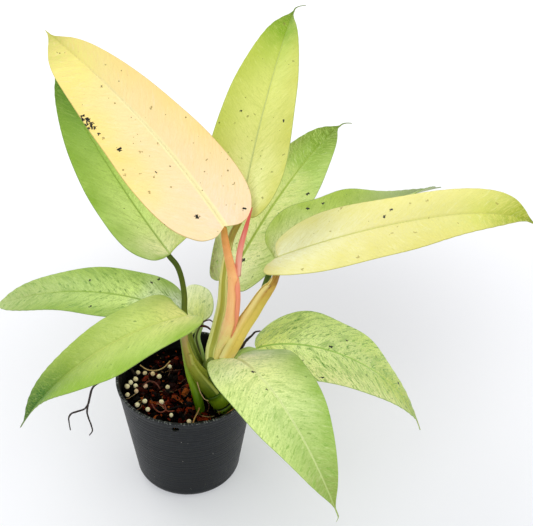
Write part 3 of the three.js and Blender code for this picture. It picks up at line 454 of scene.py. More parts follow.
# Meshes, each as arrays: its points, its faces, and its attributes by name
def mesh_object(name, arrays, material, smooth=True, sharp=None):
    points, faces, attributes = arrays
    mesh = bpy.data.meshes.new(name)
    mesh.from_pydata((np.asarray(points, float) * MM).tolist(), [], [tuple(map(int, f)) for f in faces])
    for key, values in attributes.items():
        values = np.asarray(values, np.float32)
        kind, field = ("FLOAT_VECTOR", "vector") if values.ndim == 2 else ("FLOAT", "value")
        mesh.attributes.new(key, kind, "POINT").data.foreach_set(field, values.ravel())
    mesh.polygons.foreach_set("use_smooth", [smooth] * len(mesh.polygons))
    if sharp is not None:
        mesh.set_sharp_from_angle(angle=math.radians(sharp))
    mesh.materials.append(material)
    mesh.update()
    made = bpy.data.objects.new(name, mesh)
    bpy.context.collection.objects.link(made)
    return made


def place(piece, slot, *nodes):
    """The piece rides on the one body and stands for these CAD nodes. The slot is not used."""
    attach(piece, "root")
    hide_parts(*nodes)


def unit(vectors):
    vectors = np.asarray(vectors, float)
    return vectors / np.linalg.norm(vectors, axis=-1, keepdims=True)


def rows_of(*columns):
    """Rows of numbers, from one array or number for each column."""
    return np.stack(np.broadcast_arrays(*columns), -1).reshape(-1, len(columns))


def circle(radius, height, angle):
    """Points round the vertical axis."""
    return rows_of(radius * np.cos(angle), radius * np.sin(angle), height)


def quads_between(at):
    """Faces between the neighbours in a grid of point numbers."""
    return np.stack([at[:-1, :-1], at[:-1, 1:], at[1:, 1:], at[1:, :-1]], -1).reshape(-1, 4).tolist()


def ring_faces(count, sides, fans=True):
    """Faces between rings, and at the ends fans to the two points that follow them, or one flat face each."""
    at = np.arange(count * sides).reshape(count, sides)
    closed = np.hstack([at, at[:, :1]])
    faces = quads_between(closed)
    if not fans:
        return faces + [at[0, ::-1].tolist(), at[-1].tolist()]
    faces += [(at.size, b, a) for a, b in zip(at[0], closed[0, 1:])]
    return faces + [(at.size + 1, a, b) for a, b in zip(at[-1], closed[-1, 1:])]


def closed_sheet(upper, lower, tops, loop, **attributes):
    """A sheet with these faces above, the same ones turned over below, and a rim along the loop of points."""
    total = len(upper)
    faces = [*tops, *([i + total for i in face[::-1]] for face in tops)]
    faces += [(b, a, a + total, b + total) for a, b in zip(loop, loop[1:] + loop[:1])]
    return np.vstack([upper, lower]), faces, {key: np.vstack([rows] * 2) for key, rows in attributes.items()}


def join_arrays(parts):
    """Several meshes as one."""
    points, faces, attributes, start = [], [], {}, 0
    for p, f, a in parts:
        points.append(p)
        faces += [tuple(int(i) + start for i in face) for face in f]
        for key, values in a.items():
            attributes.setdefault(key, []).append(values)
        start += len(p)
    return np.vstack(points), faces, {key: np.concatenate(values) for key, values in attributes.items()}


def toned(arrays, tone):
    """The same mesh, with the number that its material picks a colour by."""
    points, faces, attributes = arrays
    return points, faces, {**attributes, "tone": np.full(len(points), float(tone))}


# Blades
def midrib(leaf):
    """Points and frames along the midrib: (point, along, right, up), one row a step."""
    share = np.linspace(0, 1, MIDRIB_STEPS + 1)
    heading = np.radians(leaf["heading"] + leaf["turn"] * share)
    pitch = np.radians(leaf["pitch"] + leaf["droop"] * share ** leaf["late"])
    along = np.stack([np.cos(pitch) * np.cos(heading), np.cos(pitch) * np.sin(heading), np.sin(pitch)], 1)
    flat = np.stack([np.sin(heading), -np.cos(heading), 0 * heading], 1)
    roll = -np.radians(leaf["roll"] + leaf["twist"] * share)[:, None]
    right = np.cos(roll) * flat + np.sin(roll) * np.cross(along, flat)
    steps = (along[1:] + along[:-1]) * leaf["length"] / MIDRIB_STEPS / 2
    points = np.array(leaf["at"], float) + np.vstack([np.zeros(3), np.cumsum(steps, 0)])
    return points, along, right, np.cross(right, along)


def sample(rows, share):
    spot = np.clip(share, 0, 1) * MIDRIB_STEPS
    index = np.minimum(spot.astype(int), MIDRIB_STEPS - 1)
    part = (spot - index)[..., None]
    return rows[index] * (1 - part) + rows[index + 1] * part


def blade_surface(leaf, along, out):
    """Points and normals of the blade's middle surface, and the distance from the midrib in millimetres."""
    points, direction, right, up = midrib(leaf)
    side = np.sign(out)
    half = leaf["width"] / 2 * (1 + leaf["skew"] * side)
    fold = np.radians(leaf["fold"] + leaf["lean"] * side)
    curl = math.radians(leaf["curl"])
    slope = fold + curl * np.abs(out)
    sideways = half * (np.sin(slope) - np.sin(fold)) / curl
    wave = leaf["wave"] * np.sin(2 * np.pi * (WAVES * along + WAVE_SHIFT * side)) * out * out
    upwards = half * (np.cos(fold) - np.cos(slope)) / curl + wave
    rights, ups = sample(right, along), sample(up, along)
    spot = sample(points, along) + (np.minimum(along, 0) * leaf["length"])[..., None] * direction[0]
    spot += (np.maximum(along - 1, 0) * leaf["length"])[..., None] * direction[-1]
    spot += (sideways * side)[..., None] * rights + upwards[..., None] * ups
    normal = unit(ups * np.cos(slope)[..., None] - rights * (np.sin(slope) * side)[..., None])
    return spot, normal, out * half


def smooth_rows(rows, steps):
    """Catmull-Rom rows through the given ones."""
    padded = np.vstack([rows[:1], rows, rows[-1:]])
    found = []
    for a, b, c, d in zip(padded, padded[1:], padded[2:], padded[3:]):
        for t in np.arange(steps) / steps:
            found.append(0.5 * (2 * b + (c - a) * t + (2 * a - 5 * b + 4 * c - d) * t * t
                                + (3 * b - a - 3 * c + d) * t ** 3))
    return np.array([*found, rows[-1]])


def reach(leaf, meets, out, half):
    """The share of the half width that one half of a blade has, row by row."""
    far = np.clip((meets - TAPER_START) / (1 - TAPER_START), 0, 1)
    wider = 1 + leaf["belly"][half] * np.sin(np.pi * np.clip(meets, 0, 1)) ** 2
    return np.maximum(np.maximum(out, 0) ** (1 + leaf["taper"][half] * far) * wider, TIP_WIDTH)


def quilting(length, seed, vein, along, outs, across):
    """How far the surface rises between the side veins, and in three broad, uneven bends."""
    rng = np.random.default_rng(seed)
    ripple = np.sin(2 * np.pi * vein * length / QUILT_LENGTH + 2 * np.sin(7 * along + seed))
    rise = QUILT_HEIGHT * ripple * np.clip(np.abs(across) / 6, 0, 1) * (1 - outs ** 2)
    for _ in range(3):
        bends, start, slant = rng.uniform(1, 3.2), rng.uniform(0, 1), rng.uniform(-2, 2)
        rise = rise + BEND_HEIGHT * np.sin(2 * np.pi * (bends * along + start) + slant * outs) * outs
    return rise


def blade_piece(number, leaf, material):
    seed, length = int(number), leaf["length"]
    thread, aside, upwards = TIPS.get(number, PLAIN_TIP)
    beyond = np.arange(1, THREAD_STEPS + 1)[:, None] / THREAD_STEPS
    rows = np.vstack([smooth_rows(OUTLINE, ROW_STEPS)[1:],
                      np.hstack([1 + beyond * thread / length] * 2 + [0 * beyond] * 2)])
    foot, meets, out, back = rows.T[..., None]
    widest = np.where(SHARES < 0, reach(leaf, meets, out, 0), reach(leaf, meets, out, 1))
    shrink = 1 - 0.7 * np.clip((meets - 1) * length / thread, 0, 1)
    edge = meets - back * np.where(SHARES < 0, *leaf["lobes"])
    along = (foot + (edge - foot) * np.abs(SHARES)).ravel()
    along = np.concatenate([[0], along, [1 + (thread + 0.3) / length]])
    outs = np.concatenate([[0], (widest * shrink * SHARES).ravel(), [0]])
    middle, normal, across = blade_surface(leaf, along, outs)
    _, _, rights, ups = midrib(leaf)
    past = (np.maximum(along - 1, 0) * length)[:, None]
    middle += past ** 2 / thread * (aside * rights[-1] + upwards * ups[-1])
    # The side veins sweep forward, and the midrib is a groove above and a ridge below
    vein = along - 0.13 * np.abs(outs) - 0.06 * outs ** 2
    quilt = quilting(length, seed, vein, along, outs, across)
    fade = np.clip(1 - along, 0, 1)
    thick = THICKNESS + (MARGIN_THICKNESS - THICKNESS) * outs ** 2
    groove = (0.12 + 0.5 * fade) * np.exp(-(across / GROOVE_WIDTH) ** 2)
    ridge = MIDRIB_DEPTH * fade * np.exp(-(across / RIDGE_WIDTH) ** 2)
    upper = middle + normal * (thick / 2 - groove + quilt)[:, None]
    lower = middle - normal * (thick / 2 + ridge - quilt)[:, None]
    last = len(along) - 1
    at = np.arange(1, last).reshape(len(rows), len(SHARES))
    tops = quads_between(at) + [(0, b, a) for a, b in zip(at[0], at[0, 1:])]
    tops += [(last, a, b) for a, b in zip(at[-1], at[-1, 1:])]
    edge_share = np.abs(outs) / np.maximum(np.concatenate([[1], widest.ravel(), [1]]), 0.05)
    points, faces, attributes = closed_sheet(
        upper, lower, tops, [0, *at[:, -1], last, *at[::-1, 0]], place=rows_of(along, outs, edge_share),
        flat=rows_of(across, along * length, BLADE_STEP * seed),
        streak=rows_of(vein * length, np.abs(across), BLADE_STEP * seed + 11 * np.sign(outs)))
    attributes["under"] = np.repeat([0.0, 1.0], last + 1)
    return mesh_object("leaf_" + number, (points, faces, attributes), material)


def mark_places(number, marks):
    """Centres on the flattened blade, with their radii."""
    leaf = LEAVES[number]
    found = []
    for along, out, radius in marks:
        across = out * leaf["width"] / 2 * (1 + leaf["skew"] * math.copysign(1, out))
        found.append(((across, along * leaf["length"], BLADE_STEP * int(number)), radius))
    return found


def leaf_material(number, look):
    g = Graph("leaf_skin_" + number, 0.42, 0.25)
    along, out, edge_share = g.split("place")
    flat = g.attribute("flat")
    across, _, _ = g.split(flat)
    vein_at, from_rib, seed = g.split("streak")
    cloud = g.noise(flat, 0.05, 3.0)
    patch = g.noise(flat, 0.16, 3.0, 0.6)
    g.colour = g.ramp(along + (cloud - 0.5) * 0.16, look["body"])
    to_edge = edge_share.ease(0.2, 1.0) * along.ease(0.97, 0.6)
    to_edge = to_edge * along.ease(0.05, 0.4, look.get("foot", 1.0), 1.0) * cloud.ease(0.2, 0.75, 0.5, 0.95)
    g.tint(to_edge, g.mix(out.ease(-0.08, 0.08), *look["edges"]))
    # Flecks drawn out along the side veins, in three sizes, and pale ones between them
    code, amount = look["streak"]
    lengthwise = g.join(vein_at, from_rib * 0.42, seed)
    coarse = g.noise(lengthwise, 0.16, 5.0, 0.68, 0.8).ease(0.48, 0.66)
    fine = g.noise(lengthwise, 0.5, 5.0, 0.7, 0.6).ease(0.5, 0.66)
    finest = g.noise(flat, 0.9, 4.0, 0.72).ease(0.46, 0.66)
    g.tint(g.math("MAXIMUM", coarse * 0.5, fine) * amount, code)
    g.tint(finest * (0.4 * amount + 0.05), code)
    g.tint(g.noise(lengthwise, 0.4, 4.0, 0.65, 0.5).ease(0.54, 0.76, 0.0, 0.25), look["pale"])
    # Side veins at uneven distances, stronger in some places than in others, with a fine net between them
    code, strength = look["veins"]
    phase = vein_at * (2 * math.pi / VEIN_SPACING) + g.noise(flat, 0.06, 2.0) * 22.0 + patch * 3.0
    line = g.math("SINE", phase).ease(0.8, 1.0)
    g.tint(line * patch.ease(0.36, 0.62) * from_rib.ease(1.0, 6.0) * strength, code)
    cells = {"Vector": g.join(vein_at, from_rib * 0.45, seed), "Scale": 0.6}
    net = g.value("TexVoronoi", "Distance", cells, feature="DISTANCE_TO_EDGE").ease(0.09, 0.02)
    g.tint(net * (0.6 * strength), code)
    # The midrib narrows and fades towards the tip
    code, half_width, reached, strength = look["rib"]
    beside = abs(across) / along.ease(0.0, 1.0, half_width, half_width * 0.35)
    rib = beside.ease(1.3, 0.6) * along.ease(reached + 0.2, reached - 0.25, 0.0, strength)
    g.tint(rib, code)
    if "crease" in look:
        code, reached = look["crease"]
        g.tint(rib * along.ease(reached, reached - 0.12), code)
    g.tint(edge_share.ease(0.98, 0.998) * 0.7, look["margin"])
    # Small scattered spots, and the marks that the photo shows
    code, density = look["speck"]
    large, small = g.spots(flat, 0.13, 0.115, density * 0.6), g.spots(flat, 0.29, 0.18, density * 0.3)
    g.tint(g.math("MAXIMUM", large, small) * 0.9, code)
    for marks, shade, strength in ((FAINT_MARKS, code, 0.7), (DARK_MARKS, "10120a", 1.0)):
        if number in marks:
            g.tint(g.blots(flat, mark_places(number, marks[number])) * strength, shade)
    g.tint(g.attribute("under", "Fac") * 0.35, "dfe6b4")
    relief = line * -0.5 + g.noise(flat, 1.3, 3.0) * 0.6 + net * -0.4
    return g.finish(relief, 0.14, Roughness=cloud.ease(0.2, 0.8, 0.36, 0.5))


# Round stalks
def stalk_frame(path, radii, facing, steps):
    """The centripetal Catmull-Rom curve through the path, as rows: the point, the unit tangent, the direction
    of the facing side, the one across both, the radius, and the share of the way.
    """
    p = np.array(path, float)
    p = np.vstack([2 * p[0] - p[1], p, 2 * p[-1] - p[-2]])
    t = (np.arange(steps) / steps)[:, None]
    points = []
    for a, b, c, d in zip(p, p[1:], p[2:], p[3:]):
        t0, t1, t2 = (math.sqrt(np.linalg.norm(v)) for v in (b - a, c - b, d - c))
        m1 = ((b - a) / t0 - (c - a) / (t0 + t1) + (c - b) / t1) * t1
        m2 = ((c - b) / t1 - (d - b) / (t1 + t2) + (d - c) / t2) * t1
        points.append(b + m1 * t + (3 * (c - b) - 2 * m1 - m2) * t ** 2 + (2 * (b - c) + m1 + m2) * t ** 3)
    points = np.vstack([*points, p[-2:-1]])
    tangent = unit(np.gradient(points, axis=0))
    share = np.linspace(0, 1, len(points))
    radius = np.interp(share, np.linspace(0, 1, len(path)), radii)
    radius[2:-2] = np.convolve(radius, np.ones(5) / 5, "valid")
    ahead = np.array(facing, float)
    ahead = unit(ahead - (tangent @ ahead)[:, None] * tangent)
    return points, tangent, ahead, np.cross(tangent, ahead), radius, share


def tube_arrays(path, radii, sides=24, steps=10, facing=(1, 0, 0), shape=None, seed=0):
    """A stalk. shape(angle, share) scales the radius, angle 0 being the facing side."""
    points, tangent, ahead, across, radius, share = stalk_frame(path, radii, facing, steps)
    angle = np.linspace(-np.pi, np.pi, sides, endpoint=False)
    girth = radius[:, None] * (shape(angle, share[:, None]) if shape else np.ones(sides))
    outward = np.cos(angle)[:, None] * ahead[:, None] + np.sin(angle)[:, None] * across[:, None]
    spots = (points[:, None] + girth[..., None] * outward).reshape(-1, 3)
    foot, top = points[0] - tangent[0] * radius[0] * 0.3, points[-1] + tangent[-1] * radius[-1] * 0.3
    run = np.concatenate([[0], np.cumsum(np.linalg.norm(np.diff(points, axis=0), axis=1))])
    turn = angle / np.pi
    where = rows_of(share[:, None], turn, np.abs(turn))
    flat = rows_of(turn * radius[:, None] * np.pi, run[:, None], STALK_STEP * seed)
    where, flat = np.vstack([where, (0, 0, 0), (1, 0, 0)]), np.vstack([flat, flat[0], flat[-1]])
    return np.vstack([spots, foot, top]), ring_faces(len(share), sides), {"place": where, "flat": flat}


def opening(look):
    """Half the angle between the two edges of a petiole's channel."""
    return look.get("open", CHANNEL_OPENING)


def petiole_shape(look):
    """A petiole's section: a channel, with two raised edges beside it as far up as the sheath."""
    def shape(angle, share):
        low = np.clip((look["sheath"] - share) / 0.06, 0, 1)
        low = low * low * (3 - 2 * low)
        channel = (0.12 + 0.2 * low) * np.exp(-(angle / (0.6 * opening(look))) ** 2)
        return 1 - channel + 0.14 * low * np.exp(-((np.abs(angle) - opening(look)) / 0.2) ** 2)
    return shape


def petiole_material(name, look):
    g = Graph(name, 0.4, 0.2)
    edge = opening(look) / math.pi
    along, _, around = g.split("place")
    flat = g.attribute("flat")
    x, y, z = g.split(flat)
    g.colour = g.ramp(along + (g.noise(flat, 0.2, 3.0) - 0.5) * 0.2, look["skin"])
    grain = g.noise(g.join(x, y * 0.06, z), 1.1, 4.0, 0.6)
    stripe = g.noise(g.join(x, y * 0.03, z), 0.45, 2.0)
    g.tint(stripe.ease(0.5, 0.7, 0.0, 0.25), look["channel"])
    g.tint(grain.ease(0.5, 0.75, 0.0, 0.25), look["channel"])
    g.tint(grain.ease(0.48, 0.25, 0.0, 0.15), look["flap"])
    if look["sheath"]:
        low = along.ease(look["sheath"] + 0.03, look["sheath"] - 0.03)
        channel = around.ease(edge - 0.03, edge - 0.1) * (low * 0.65 + 0.2)
        flap = around.ease(edge - 0.07, edge - 0.03) * around.ease(edge + 0.09, edge + 0.03)
        g.tint(channel, look["channel"])
        g.tint(flap * low * 0.85, look["flap"])
    specks = g.spots(g.join(x, y * 0.6, z), 0.5, 0.16, 0.25)
    g.tint(specks * 0.5, "6c5a2a")
    return g.finish(grain, 0.3, Roughness=grain.ease(0.2, 0.8, 0.32, 0.5))


def sheath_edge(look, seed, start, end, fixed, free, lift, fading):
    """One free edge of a sheath: a thin flap that stands off the stalk and ends in a rounded lobe."""
    points, _, ahead, across, radius, share = stalk_frame(look["path"], look["radii"], look["facing"], 16)
    kept = (share >= start) & (share <= end)
    points, radius, ahead, across = (rows[kept][:, None] for rows in (points, radius[:, None], ahead, across))
    rows = len(points)
    run = np.linspace(0, 1, rows)[:, None]
    lobe = np.sqrt(1 - np.clip((run - 0.9) / 0.1, 0, 0.98) ** 2) * (1 + 0.06 * np.sin(19 * run + seed))
    held = fixed[0] + (fixed[1] - fixed[0]) * run
    loose = held + (free[0] + (free[1] - free[0]) * run - held) * lobe
    shares = np.linspace(0, 1, FLAP_COLUMNS)
    angle = (held + (loose - held) * shares)[..., None]
    outward = np.cos(angle) * ahead + np.sin(angle) * across
    grid = points + outward * (radius * 1.04 + lift * (shares * shares)[:, None])
    normal = unit(np.cross(np.gradient(grid, axis=0), np.gradient(grid, axis=1)) + 1e-9) * FLAP_THICKNESS / 2
    at = np.arange(rows * FLAP_COLUMNS).reshape(rows, FLAP_COLUMNS)
    loop = [*at[0, :-1], *at[:-1, -1], *at[-1, :0:-1], *at[:0:-1, 0]]
    edge = opening(look) / math.pi
    return closed_sheet((grid + normal).reshape(-1, 3), (grid - normal).reshape(-1, 3), quads_between(at.T),
                        loop[::-1], flat=rows_of(shares * 4, run * 60, STALK_STEP * seed),
                        place=rows_of(run * (end - start) + start, edge, edge + (1 - shares) * fading))


def petiole_piece(number, look):
    points, _, _, up = midrib(LEAVES[number])
    # The stalk runs on into the midrib below the blade
    end = look["radii"][-1]
    path = [*look["path"][:-1], points[0] - up[0] * (end + 0.4), points[2] - up[2] * 1.8]
    radii = [*look["radii"][:-1], end * 0.95, 1.0]
    seed = int(number)
    parts = [tube_arrays(path, radii, 32, 12, look["facing"], petiole_shape(look), seed)]
    parts += [sheath_edge(look, seed, *edge) for edge in SHEATH_EDGES.get(number, ())]
    skin = petiole_material("petiole_skin_" + number, look)
    return mesh_object("stalk_" + number, join_arrays(parts), skin)


def stem_shape(angle, share):
    share = share + 0.012 * np.sin(angle + 1) + 0.006 * np.sin(3 * angle)
    swell = sum(np.exp(-((share - ring) / 0.02) ** 2) for ring in STEM_RINGS)
    notch = sum(np.exp(-((share - ring - RING_NOTCH) / 0.01) ** 2) for ring in STEM_RINGS)
    return 1 + 0.1 * swell - 0.08 * notch + 0.03 * np.sin(3 * angle + 9 * share)


def stem_material():
    g = Graph("stem_skin", 0.42, 0.2)
    along, turn, _ = g.split("place")
    flat = g.attribute("flat")
    g.colour = g.ramp(along, [(0.2, "3f5a00"), (0.3, "607808"), (0.44, "748c14"), (0.52, "2c4a00"),
                              (0.62, "3c5200"), (0.8, "5c6c14"), (1, "7c8a3c")])
    blot = g.noise(flat, 0.25, 4.0, 0.6)
    g.tint(blot.ease(0.48, 0.7, 0.0, 0.6), "4f7a20")
    wobble = (g.noise(flat, 0.12, 2.0) - 0.5) * 0.04
    spot = along + wobble + g.math("SINE", turn * math.pi + 1.0) * 0.012
    rings = 0.0
    for ring in STEM_RINGS:
        rings = g.math("MAXIMUM", rings, abs(spot - (ring + RING_NOTCH)).ease(0.016, 0.006))
    g.tint(rings * 0.95, "0c1604")
    g.tint(along.ease(0.24, 0.12, 0.0, 0.7), "2c3a12")
    return g.finish(blot, 0.5)


def spike_material():
    g = Graph("spike_skin", 0.38)
    along, turn, _ = g.split("place")
    x, y, z = g.split("flat")
    g.colour = g.ramp(along, [(0, "f6c0a8"), (0.2, "f4a898"), (0.45, "ec8476"), (0.75, "d8584a"),
                              (1, "c8604a")])
    seam = abs(turn - along.ease(0.0, 1.0, -0.2, 0.35))
    g.tint(seam.ease(0.07, 0.02, 0.0, 0.7), "a8453a")
    grain = g.noise(g.join(x, y * 0.08, z), 1.3, 3.0)
    g.tint(grain.ease(0.5, 0.8, 0.0, 0.35), "fbd0c0")
    return g.finish(grain, 0.2)


def root_material(name, dark, pale):
    g = Graph(name, 0.7)
    bark = g.noise(g.attribute("flat"), 0.9, 4.0, 0.65)
    g.colour = g.mix(bark.ease(0.45, 0.75), dark, pale)
    return g.finish(bark, 0.5)


def knobbly(seed):
    rng = np.random.default_rng(seed)
    terms = [(rng.uniform(20, 90), rng.integers(0, 3), rng.uniform(0, 6.3)) for _ in range(5)]
    return lambda angle, share: 1 + 0.04 * sum(np.sin(k * share + n * angle + phase) for k, n, phase in terms)


# The pot
def pot_radius(height):
    share = (height - POT["corner"]) / (POT["height"] - POT["corner"])
    return POT["bottom"] + (POT["rim"] - POT["lip_step"] - POT["bottom"]) * share


def pot_profile():
    """Half section from the middle of the underside, round the outside, over the rim and down the inside."""
    corner, wall, top, rim, floor = (POT[key] for key in ("corner", "wall", "height", "rim", "floor"))
    centre = pot_radius(corner) - corner
    profile = [(0.01, 0.4), (centre * 0.5, 0.4), (centre - 4, 0.4), (centre - 2.4, 0.3), (centre - 1.6, 0)]
    for angle in np.linspace(-math.pi / 2, 0, 13):
        profile.append((centre + corner * math.cos(angle), corner + corner * math.sin(angle)))
    lip_foot = top - POT["lip"]
    for height in np.arange(corner + 1, lip_foot - 0.3, 0.55):
        ridge = 0.05 * math.sin(2 * math.pi * height / 2.3) + 0.03 * math.sin(2 * math.pi * height / 3.7 + 1)
        profile.append((pot_radius(height) + ridge * min(1, height / 45), height))
    foot, inner = pot_radius(lip_foot), pot_radius(top) - wall
    profile += [(foot, lip_foot), (foot + 0.15, lip_foot + 0.15), (foot + 0.6, lip_foot + 0.5),
                (foot + 0.72, lip_foot + 0.75), (rim - 0.2, top - 0.6), (rim - 0.25, top - 0.2),
                (rim - 0.5, top), (inner + 0.35, top), (inner + 0.08, top - 0.15), (inner, top - 0.5)]
    profile += [(pot_radius(height) - wall, height) for height in np.linspace(top - 3, corner + floor, 14)]
    inner = pot_radius(corner) - wall
    return profile + [(inner - corner * 0.3, floor + 1.6), (inner - corner * 0.7, floor), (0.01, floor)]


def lathe_arrays(profile, segments):
    """A turned solid, from its profile's radii and heights."""
    radii, heights = np.array(profile, float).T[..., None]
    spots = circle(radii, heights, np.linspace(0, 2 * np.pi, segments, endpoint=False))
    return spots, ring_faces(len(profile), segments, fans=False), {}


def drill(angle, radius, height, diameter, lying):
    """A cylinder to cut one hole with."""
    spots, faces, _ = lathe_arrays([(diameter / 2, -6), (diameter / 2, 6)], 32)
    if lying:
        spots = spots[:, [2, 1, 0]] * (1, -1, 1)
    x, y, z = (spots + (radius, 0, height)).T
    cosine, sine = math.cos(math.radians(angle)), math.sin(math.radians(angle))
    return rows_of(x * cosine - y * sine, x * sine + y * cosine, z), faces, {}


def pot_material():
    g = Graph("pot_plastic", 0.42, 0.22)
    x, y, z = g.split(g.value("TexCoord", "Object"))
    angle = g.math("ARCTAN2", y, x)
    radius, height = g.math("SQRT", x * x + y * y) * (1 / MM), z * (1 / MM)
    lines = g.noise(g.join(angle * 1.2, height, 3.0), 1.4, 5.0, 0.7)
    wide = g.noise(g.join(angle * 2.0, height * 0.12, 8.0), 1.0, 3.0)
    g.colour = g.mix(lines.ease(0.35, 0.75), "04070a", "14191d")
    g.tint(wide.ease(0.4, 0.7, 0.0, 0.4), "10161b")
    # Painted shade: the inside wall is drawn an even near-black, for the shade inside the pot
    inside = g.math("LESS_THAN", radius, pot_radius(height) - POT["wall"] / 2)
    g.tint(inside, "0d0d0f")
    # Scuffs: short scratches round the upper half, and dust. The broken pale line along the rim is a painted
    # highlight.
    scratch = g.noise(g.join(angle * 3.5, height * 2.2, 5.0), 2.2, 4.0, 0.75)
    g.tint(scratch.ease(0.56, 0.72, 0.0, 0.5) * height.ease(30.0, 85.0), "6c7076")
    rim_highlight_breakup = g.noise(g.join(angle * 50.0, height * 1.4, 2.0), 0.9, 3.0, 0.7)
    # Painted highlight: a broken pale line along the top of the rim
    g.tint(height.ease(86.4, 87.8) * rim_highlight_breakup.ease(0.5, 0.68) * 0.5, "b4b6b4")
    dust = g.spots(g.join(angle * 45.0, height, 0.0), 0.22, 0.1, 0.6)
    g.tint(dust * 0.6, "a9a59c")
    return g.finish(lines + scratch * 0.5, 0.12, Roughness=lines.ease(0.3, 0.7, 0.36, 0.55))


def pot_piece():
    piece = mesh_object("nursery_pot", lathe_arrays(pot_profile(), 200), pot_material())
    high = POT["height"] - HANGING_HOLE["below_rim"]
    cutters = []
    for hole, radius, height, lying in ((HANGING_HOLE, pot_radius(high), high, True),
                                        (DRAIN_HOLE, DRAIN_HOLE["radius"], 0, False)):
        for i in range(hole["count"]):
            angle = hole["first"] + 360 * i / hole["count"]
            cutters.append(drill(angle, radius, height, hole["diameter"], lying))
    cutter = mesh_object("cutter", join_arrays(cutters), piece.data.materials[0])
    cut = piece.modifiers.new("holes", "BOOLEAN")
    cut.operation, cut.object, cut.solver = "DIFFERENCE", cutter, "EXACT"
    graph = bpy.context.evaluated_depsgraph_get()
    mesh = bpy.data.meshes.new_from_object(piece.evaluated_get(graph))
    piece.modifiers.clear()
    piece.data = mesh
    mesh.set_sharp_from_angle(angle=math.radians(38))
    bpy.data.objects.remove(cutter)
    return piece


# The potting mix
def soil_height(x, y):
    ripple = np.sin(x / 6.5 + 1) * np.cos(y / 5.5) + np.sin((x + y) / 11)
    return SOIL_TOP + SOIL_ROUGHNESS * ripple / 2


def inner_radius(height):
    return pot_radius(height) - POT["wall"] - 0.4


def soil_bed():
    """A closed plug that fills the pot, with a crumbly top."""
    rng = np.random.default_rng(3)
    rings, sectors = 40, 140
    angle = np.linspace(0, 2 * np.pi, sectors, endpoint=False)
    top = circle(inner_radius(SOIL_TOP) * np.linspace(1, 0, rings + 1)[:-1, None], 0.0, angle)
    top[:, 2] = soil_height(*top.T[:2]) - SOIL_DROP + rng.uniform(-0.9, 0.9, len(top))
    foot = POT["floor"] + 0.4
    lower = [circle(inner_radius(POT["corner"]) - 6, foot, angle)]
    for height in (POT["corner"] + POT["floor"] + 0.5, 40):
        lower.append(circle(inner_radius(height), height, angle))
    spots = np.vstack([*lower, top, (0, 0, foot), (0, 0, SOIL_TOP - SOIL_DROP)])
    return toned((spots, ring_faces(len(lower) + rings, sectors), {"flat": spots}), 0.12)


def lump_template(cuts):
    """A cube's surface in cuts by cuts squares a side, as points in -1 to 1 and faces."""
    index, faces = {}, []
    grid = [2 * i / cuts - 1 for i in range(cuts + 1)]
    for axis in range(3):
        for sign in (-1.0, 1.0):
            for i, j in np.ndindex(cuts, cuts):
                square = ((i, j), (i + 1, j), (i + 1, j + 1), (i, j + 1))
                corners = [(sign, grid[u], grid[v]) for u, v in square]
                corners = [c[3 - axis:] + c[:3 - axis] for c in corners]
                quad = [index.setdefault(c, len(index)) for c in corners]
                faces.append(quad if sign > 0 else quad[::-1])
    return np.array(list(index)), faces


def turned_at_random(rng, tilt):
    a, b, c = rng.uniform(-tilt, tilt), rng.uniform(-tilt, tilt), rng.uniform(0, 2 * math.pi)
    return np.array(Matrix.Rotation(c, 3, "Z") @ Matrix.Rotation(b, 3, "Y") @ Matrix.Rotation(a, 3, "X"))


def random_spot(rng, margin):
    """A place anywhere on the mix, clear of the pot's wall."""
    radius = (inner_radius(SOIL_TOP) - margin) * math.sqrt(rng.uniform())
    angle = rng.uniform(0, 2 * math.pi)
    return radius * math.cos(angle), radius * math.sin(angle)


def husk_chips():
    """Irregular flakes of husk, the larger ones on top, sunk where a pellet lies."""
    rng = np.random.default_rng(21)
    template, faces = lump_template(3)
    template = template * (1 - 0.18 * (np.abs(template).sum(1, keepdims=True) - 1))
    parts = []
    for i in range(CHIPS):
        big = i < BIG_CHIPS
        ranges = ((4.5, 10.5), (2.6, 6), (0.9, 2.2)) if big else ((1.2, 3.6), (0.8, 2.2), (0.5, 1.2))
        size = np.array([rng.uniform(*limits) for limits in ranges])
        x, y = random_spot(rng, 2.5 + size[0] / 2)
        shape = (template + rng.uniform(-0.16, 0.16, template.shape)) * size / 2
        shape[:, 2] += 0.5 * np.sin(shape[:, 0] / size[0] * 3 + rng.uniform(0, 6))
        spots = shape @ turned_at_random(rng, 0.6 if big else 1.2).T
        lift = rng.uniform(-0.4, 1.5) if big else rng.uniform(0, 1.9)
        if min(math.hypot(x - px, y - py) for px, py in PELLETS) < 3.4:
            lift = min(lift, -0.2)
        spots = spots + (x, y, soil_height(x, y) - 0.3 + lift)
        tone = rng.uniform() ** 1.6
        parts.append(toned((spots, faces, {"flat": spots + 100 * rng.uniform()}), tone))
    return join_arrays(parts)


def mix_material():
    g = Graph("husk_mix_surface", 0.55, 0.05)
    grain = g.noise(g.attribute("flat"), 0.8, 5.0, 0.7)
    g.colour = g.ramp(g.attribute("tone", "Fac"), [(0, "030000"), (0.35, "0c0200"), (0.55, "300600"),
                                                   (0.7, "601004"), (0.86, "9c3410"), (1, "c46428")])
    g.tint(grain.ease(0.35, 0.62, 0.85, 0.0), "030000")
    return g.finish(grain, 0.7, Roughness=grain.ease(0.3, 0.7, 0.28, 0.6))


